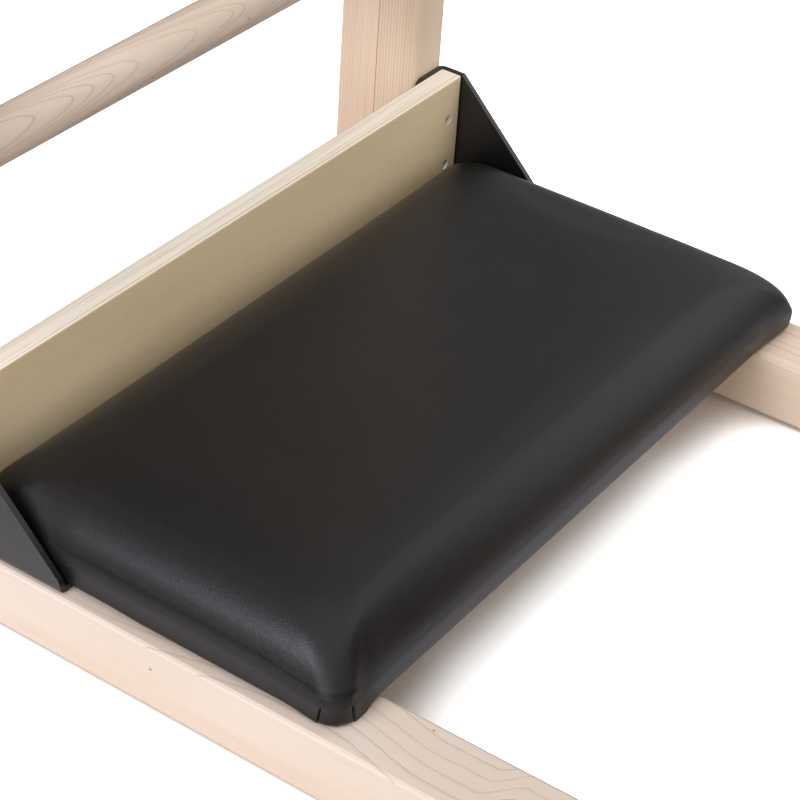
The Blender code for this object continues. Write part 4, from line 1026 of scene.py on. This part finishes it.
def pullVinyl(piece, middle, halfX, halfY, look):
    radius = stepPad["corners"]["frontLeft"][0]
    for vertex in piece.data.vertices:
        at = PadPoint(vertex.co - middle, halfX, halfY)
        shift = cornerFolds(at, radius, look)
        shift.z -= drawnDown(at, look)
        shift += creasedRoll(at, shift.z, radius, look)
        shift += filledOut(at, look)
        vertex.co += shift
    piece.data.update()


def creaseShade(graph, parts):
    # painted shade: a soft dark line in the crease between band and roll, on the left and round
    # its corner, where the crease would keep the light out
    look = pulledVinyl
    x, y, z = parts
    front = y - (padMiddle.y - padHalfY)
    left = x - (padMiddle.x - padHalfX)
    lowered = graph.step(front, 0.0, look["creaseReach"], look["creaseDrop"], 0.0)
    gap = graph.unary("ABSOLUTE", z - padMiddle.z + lowered - look["creaseHeight"])
    line = graph.step(gap, 0.0, look["creaseHalf"] * 2, look["creaseShade"], 0.0)
    line = line * graph.step(front, *look["creaseRear"], 1.0, 0.0)
    return line * graph.step(left, *look["creaseFront"], 1.0, 0.0)


bm, padMiddle, padHalfX, padHalfY, padStationCount = buildStepPad(stepPad)
stepCover = makePiece("step_cover", bm, vinyl("creased black vinyl", creaseShade), "frame")
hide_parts("step_cushion")
rollFoot = padMiddle.z + stepPad["rollStart"][1] + 0.001
held = [vertex.index for vertex in stepCover.data.vertices if vertex.co.z < rollFoot]
calm = [ease(*stepPad["calm"], inset) for inset, height in padProfile(padHalfY, stepPad)]
inflate(stepCover, held, stepPad, padStationCount, True, calm)
subdivide(stepCover)
pullVinyl(stepCover, padMiddle, padHalfX, padHalfY, pulledVinyl)
print("platform cushion made:", len(stepCover.data.vertices), "points")


# black dust cover under the platform's board, stapled over the folded vinyl
dustCover = {"inset": 0.022, "cornerRadius": 0.012, "top": -0.00021, "bottom": -0.00029,
             "dark": (0.010, 0.010, 0.011, 1.0), "pale": (0.022, 0.022, 0.023, 1.0),
             "roughness": 0.85, "threadScale": 1400.0, "threadHeight": 0.00008}


def clothBacking(name, look):
    graph = newGraph(name)
    point = graph.place()
    threads = graph.noise(point, look["threadScale"], 2.0)
    cloud = graph.noise(point, 60.0, 2.0)
    return graph.finish(graph.mix(threads, look["dark"], look["pale"]),
                        look["roughness"] + (cloud - 0.5) * 0.1, threads, look["threadHeight"])


def buildDustCover(look):
    halfX, halfY = padHalfX - look["inset"], padHalfY - look["inset"]
    radius = look["cornerRadius"]
    outline = []
    for signX, signY, start in ((1, 1, 0), (-1, 1, 90), (-1, -1, 180), (1, -1, 270)):
        middle = (signX * (halfX - radius), signY * (halfY - radius))
        outline += arcPoints(middle, radius, start, start + 90, 6)
    bm = bmesh.new()
    rings = [[bm.verts.new(padMiddle + Vector((x, y, height))) for x, y in outline]
             for height in (look["bottom"], look["top"])]
    joinRings(bm, rings)
    for ring in rings:
        bm.faces.new(ring)
    area = 4 * halfX * halfY - (4 - math.pi) * radius ** 2
    cover = makePiece("dust_cover", bm, clothBacking("black backing cloth", look), "frame",
                      smooth=False)
    2 * halfX
    2 * halfY


buildDustCover(dustCover)


# barrel cushion: the same band, crease and roll, bent over the shell
barrelPad = {
    # (inset, height) of the band's face and the crease, up to where the roll starts
    "face": [(0.0008, 0.0), (0.0, 0.0008), (-0.0003, 0.0060), (0.0, 0.0114), (0.0012, 0.0126),
             (0.0042, 0.0145), (0.0033, 0.0167)],
    "creaseHeight": 0.0145,
    "roll": 0.027,
    "rollEnd": 88.0,              # degrees
    "drawnIn": 0.003,
    "padding": 0.045,
    "crown": 0.002,
    "gap": 0.0003,                # between the shell and the padding
    "endRoll": 0.030,
    "endShare": 0.30,             # of the height that is left at the very ends
    "endBand": 1.6,               # how much more of it the band keeps there
    "droop": math.radians(26),
    # numbers of rows
    "underSteps": 8,
    "rollSteps": 9,
    "topSteps": 15,
    "endSteps": 7,
    "arcSteps": 110,
    "gaugeRow": 30,
    "evenReach": 0.030,
}


def barrelSection(half, share, look):
    # half of the cross-section as (x, height over the shell), from the underside's middle
    edge, crease, roll = look["padding"], look["creaseHeight"], look["roll"]
    right = [(half * i / look["underSteps"], 0.0) for i in range(look["underSteps"])]
    right += [(half - inset, height) for inset, height in look["face"]]
    right += arcPoints((half - look["drawnIn"] - roll, edge - roll), roll, 0, look["rollEnd"],
                       look["rollSteps"])
    reach = right[-1][0]
    for i in range(1, look["topSteps"] + 1):
        x = reach * (1 - i / look["topSteps"])
        right.append((x, edge + look["crown"] * math.cos(x / reach * math.pi / 2)))
    lower = min(1.0, share * look["endBand"])
    return [(x, height * (share if height > crease else lower)) for x, height in right]


def buildBarrelPad(look):
    low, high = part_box("barrel_cushion")
    half = (high.x - low.x) / 2
    span = math.pi + 2 * look["droop"]
    radius = shellHigh.z - barrelCentre.z + look["gap"]
    rollAngle = look["endRoll"] / (radius + look["padding"])
    ends = [i / look["endSteps"] for i in range(look["endSteps"])]
    steps = look["arcSteps"]
    travels = [share * rollAngle for share in ends]
    travels += [rollAngle + (span - 2 * rollAngle) * i / steps for i in range(steps + 1)]
    travels += [span - share * rollAngle for share in reversed(ends)]
    bm = bmesh.new()
    rings = []
    for travel in travels:
        fromEnd = min(travel, span - travel) / rollAngle
        share = math.sqrt(max(1 - (1 - min(fromEnd, 1.0)) ** 2, 0.0))
        share = look["endShare"] + (1 - look["endShare"]) * share
        section = barrelSection(half, share, look)
        section += [(-x, height) for x, height in reversed(section[1:-1])]
        ahead, up = math.cos(travel - look["droop"]), math.sin(travel - look["droop"])
        rings.append([bm.verts.new(barrelCentre + Vector((x, (radius + height) * ahead,
                                                          (radius + height) * up)))
                      for x, height in section])
    joinRings(bm, rings)
    closeEnds(bm, rings)
    return bm, len(rings[0])


bm, sectionCount = buildBarrelPad(barrelPad)
barrelCover = makePiece("barrel_cover", bm, vinyl("black vinyl"), "barrel")
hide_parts("barrel_cushion")
rollFoot = shellHigh.z - barrelCentre.z + barrelPad["creaseHeight"] + 0.003
held = [vertex.index for vertex in barrelCover.data.vertices
        if ((vertex.co - barrelCentre) * Vector((0.0, 1.0, 1.0))).length < rollFoot]
inflate(barrelCover, held, barrelPad, sectionCount, False)
subdivide(barrelCover)
print("barrel cushion made:", len(barrelCover.data.vertices), "points")


# studio: a white floor with painted shade close under the pieces, a dim sky with large soft glows
# painted in it, and one soft light
studio = {
    "floorSize": 16.0,
    # near the object, and far off where the white sheet ends
    "floorBounce": ((0.66, 0.59, 0.53), (0.15, 0.15, 0.15)),
    "floorGlossy": ((1.02, 0.98, 1.02), (0.10, 0.10, 0.10)),
    "sheetMiddle": Vector((0.10, 0.30, 0.20)),
    "sheetEdge": (0.50, 1.05),    # distance from that middle over which the sheet ends
    # as shown to the camera: painted shade, darker and warmer, close under a piece, and white in
    # the open
    "floorShown": ((0.94, 0.84, 0.77), (2.0, 2.0, 2.0)),
    "shadeOpenness": (0.30, 0.48),    # openness between which the floor turns from one to the other
    "shadeReach": 0.12,
    "sky": 0.09,                  # its grey
    # direction from the object, half-width in degrees out to which it fades, and grey level
    "glows": {
        "left wall": (Vector((-0.95, -0.05, 0.30)), 45.0, 2.48),
        "front": (Vector((-0.2, -0.9, 0.40)), 50.0, 0.68),
        "front right": (Vector((0.6, -0.60, 0.62)), 40.0, 1.05),
        "ceiling": (Vector((0.0, 0.0, 1.0)), 50.0, 1.12),
        "right wall": (Vector((0.98, 0.0, 0.35)), 40.0, 0.60),
    },
    "glowCore": 0.35,             # share of the half-width that has the full level
    # what the soft light is aimed at, and where it stands as a direction from there
    "aim": Vector((0.0, 0.30, 0.20)),
    "softbox": {"toward": Vector((-0.78, 0.22, 0.56)), "distance": 2.6, "side": 1.3,
                "power": 28.0, "tint": (0.96, 0.95, 1.12)},
}


def floorMaterial(look):
    graph = newGraph("white floor")
    outputs = graph.add("LightPath").socket.node.outputs
    camera, glossy, passing = (Wire(graph, outputs[kind]) for kind in (
        "Is Camera Ray", "Is Glossy Ray", "Is Transmission Ray"))
    far = graph.step(graph.distance(graph.place(), look["sheetMiddle"]), *look["sheetEdge"])
    # painted shade: where ambient occlusion finds a piece close above, the floor is shown to the
    # camera darker and warmer, over its real shadow
    openness = graph.add("AmbientOcclusion", {"samples": 12}, {"Distance": look["shadeReach"]},
                         out=1)
    unshaded = graph.step(openness, *look["shadeOpenness"])
    bounce, mirrored, shown = (
        graph.mix(share, *((*tint, 1.0) for tint in look[key]))
        for share, key in ((far, "floorBounce"), (far, "floorGlossy"), (unshaded, "floorShown")))
    colour = graph.mix(graph.clamp(glossy + passing), bounce, mirrored)
    colour = graph.mix(camera, colour, shown)
    return graph.output(graph.add("BsdfDiffuse", sockets={"Color": colour}))


def buildFloor(look):
    half = look["floorSize"] / 2
    mesh = bpy.data.meshes.new("floor")
    mesh.from_pydata([(x * half, y * half, 0.0) for x, y in ((-1, -1), (1, -1), (1, 1), (-1, 1))],
                     [], [(0, 1, 2, 3)])
    floor = bpy.data.objects.new("floor", mesh)
    bpy.context.scene.collection.objects.link(floor)
    mesh.materials.append(floorMaterial(look))


def buildSky(look):
    world = bpy.data.worlds.new("studio")
    bpy.context.scene.world = world
    sky = Graph(world)
    direction = sky.add("TexCoord", out="Generated")
    level = look["sky"]
    for toward, reach, strength in look["glows"].values():
        facing = sky.add("VectorMath", {"operation": "DOT_PRODUCT"},
                         {0: direction, 1: toward.normalized()}, out=1)
        outer, inner = (math.cos(math.radians(reach * share)) for share in (1.0, look["glowCore"]))
        level = level + sky.step(facing, outer, inner, 0.0, strength)
    direct = Wire(sky, sky.add("LightPath").socket.node.outputs["Is Camera Ray"])
    glow = sky.add("Background", sockets={
        "Color": (1.0, 1.0, 1.0, 1.0), "Strength": sky.choose(direct, level, 1.0)})
    sky.add("OutputWorld", sockets={"Surface": glow})


def buildSoftbox(look):
    lamp = look["softbox"]
    light = bpy.data.lights.new("softbox", "AREA")
    light.shape = "SQUARE"
    light.size = lamp["side"]
    light.energy = lamp["power"]
    light.color = lamp["tint"]
    stand = bpy.data.objects.new("softbox", light)
    toward = lamp["toward"].normalized()
    stand.location = look["aim"] + toward * lamp["distance"]
    stand.rotation_euler = toward.to_track_quat("Z", "Y").to_euler()
    stand.visible_camera = False
    bpy.context.scene.collection.objects.link(stand)


buildFloor(studio)
buildSky(studio)
buildSoftbox(studio)

# the photograph's viewpoint
viewpoint = {
    "place": Vector((-1.34385, -0.47069, 1.21266)),
    "turn": 57.252,               # degrees from +Y towards +X
    "down": 35.354,
    "roll": 4.187,
    "lens": 110.53,
    "sensor": 36.0,
}


def buildCamera(look):
    turn, down, roll = (math.radians(look[key]) for key in ("turn", "down", "roll"))
    forward = Vector((math.sin(turn) * math.cos(down), math.cos(turn) * math.cos(down),
                      -math.sin(down)))
    level = Vector((math.cos(turn), -math.sin(turn), 0.0))
    upright = level.cross(forward)
    right = level * math.cos(roll) + upright * math.sin(roll)
    up = upright * math.cos(roll) - level * math.sin(roll)
    data = bpy.data.cameras.new("camera")
    data.lens = look["lens"]
    data.sensor_width = look["sensor"]
    data.clip_start = 0.05
    camera = bpy.data.objects.new("camera", data)
    turned = Matrix((right, up, -forward)).transposed().to_4x4()
    camera.matrix_world = Matrix.Translation(look["place"]) @ turned
    bpy.context.scene.collection.objects.link(camera)
    bpy.context.scene.camera = camera


buildCamera(viewpoint)
bpy.context.scene.view_settings.view_transform = "Standard"
print("studio and camera ready")
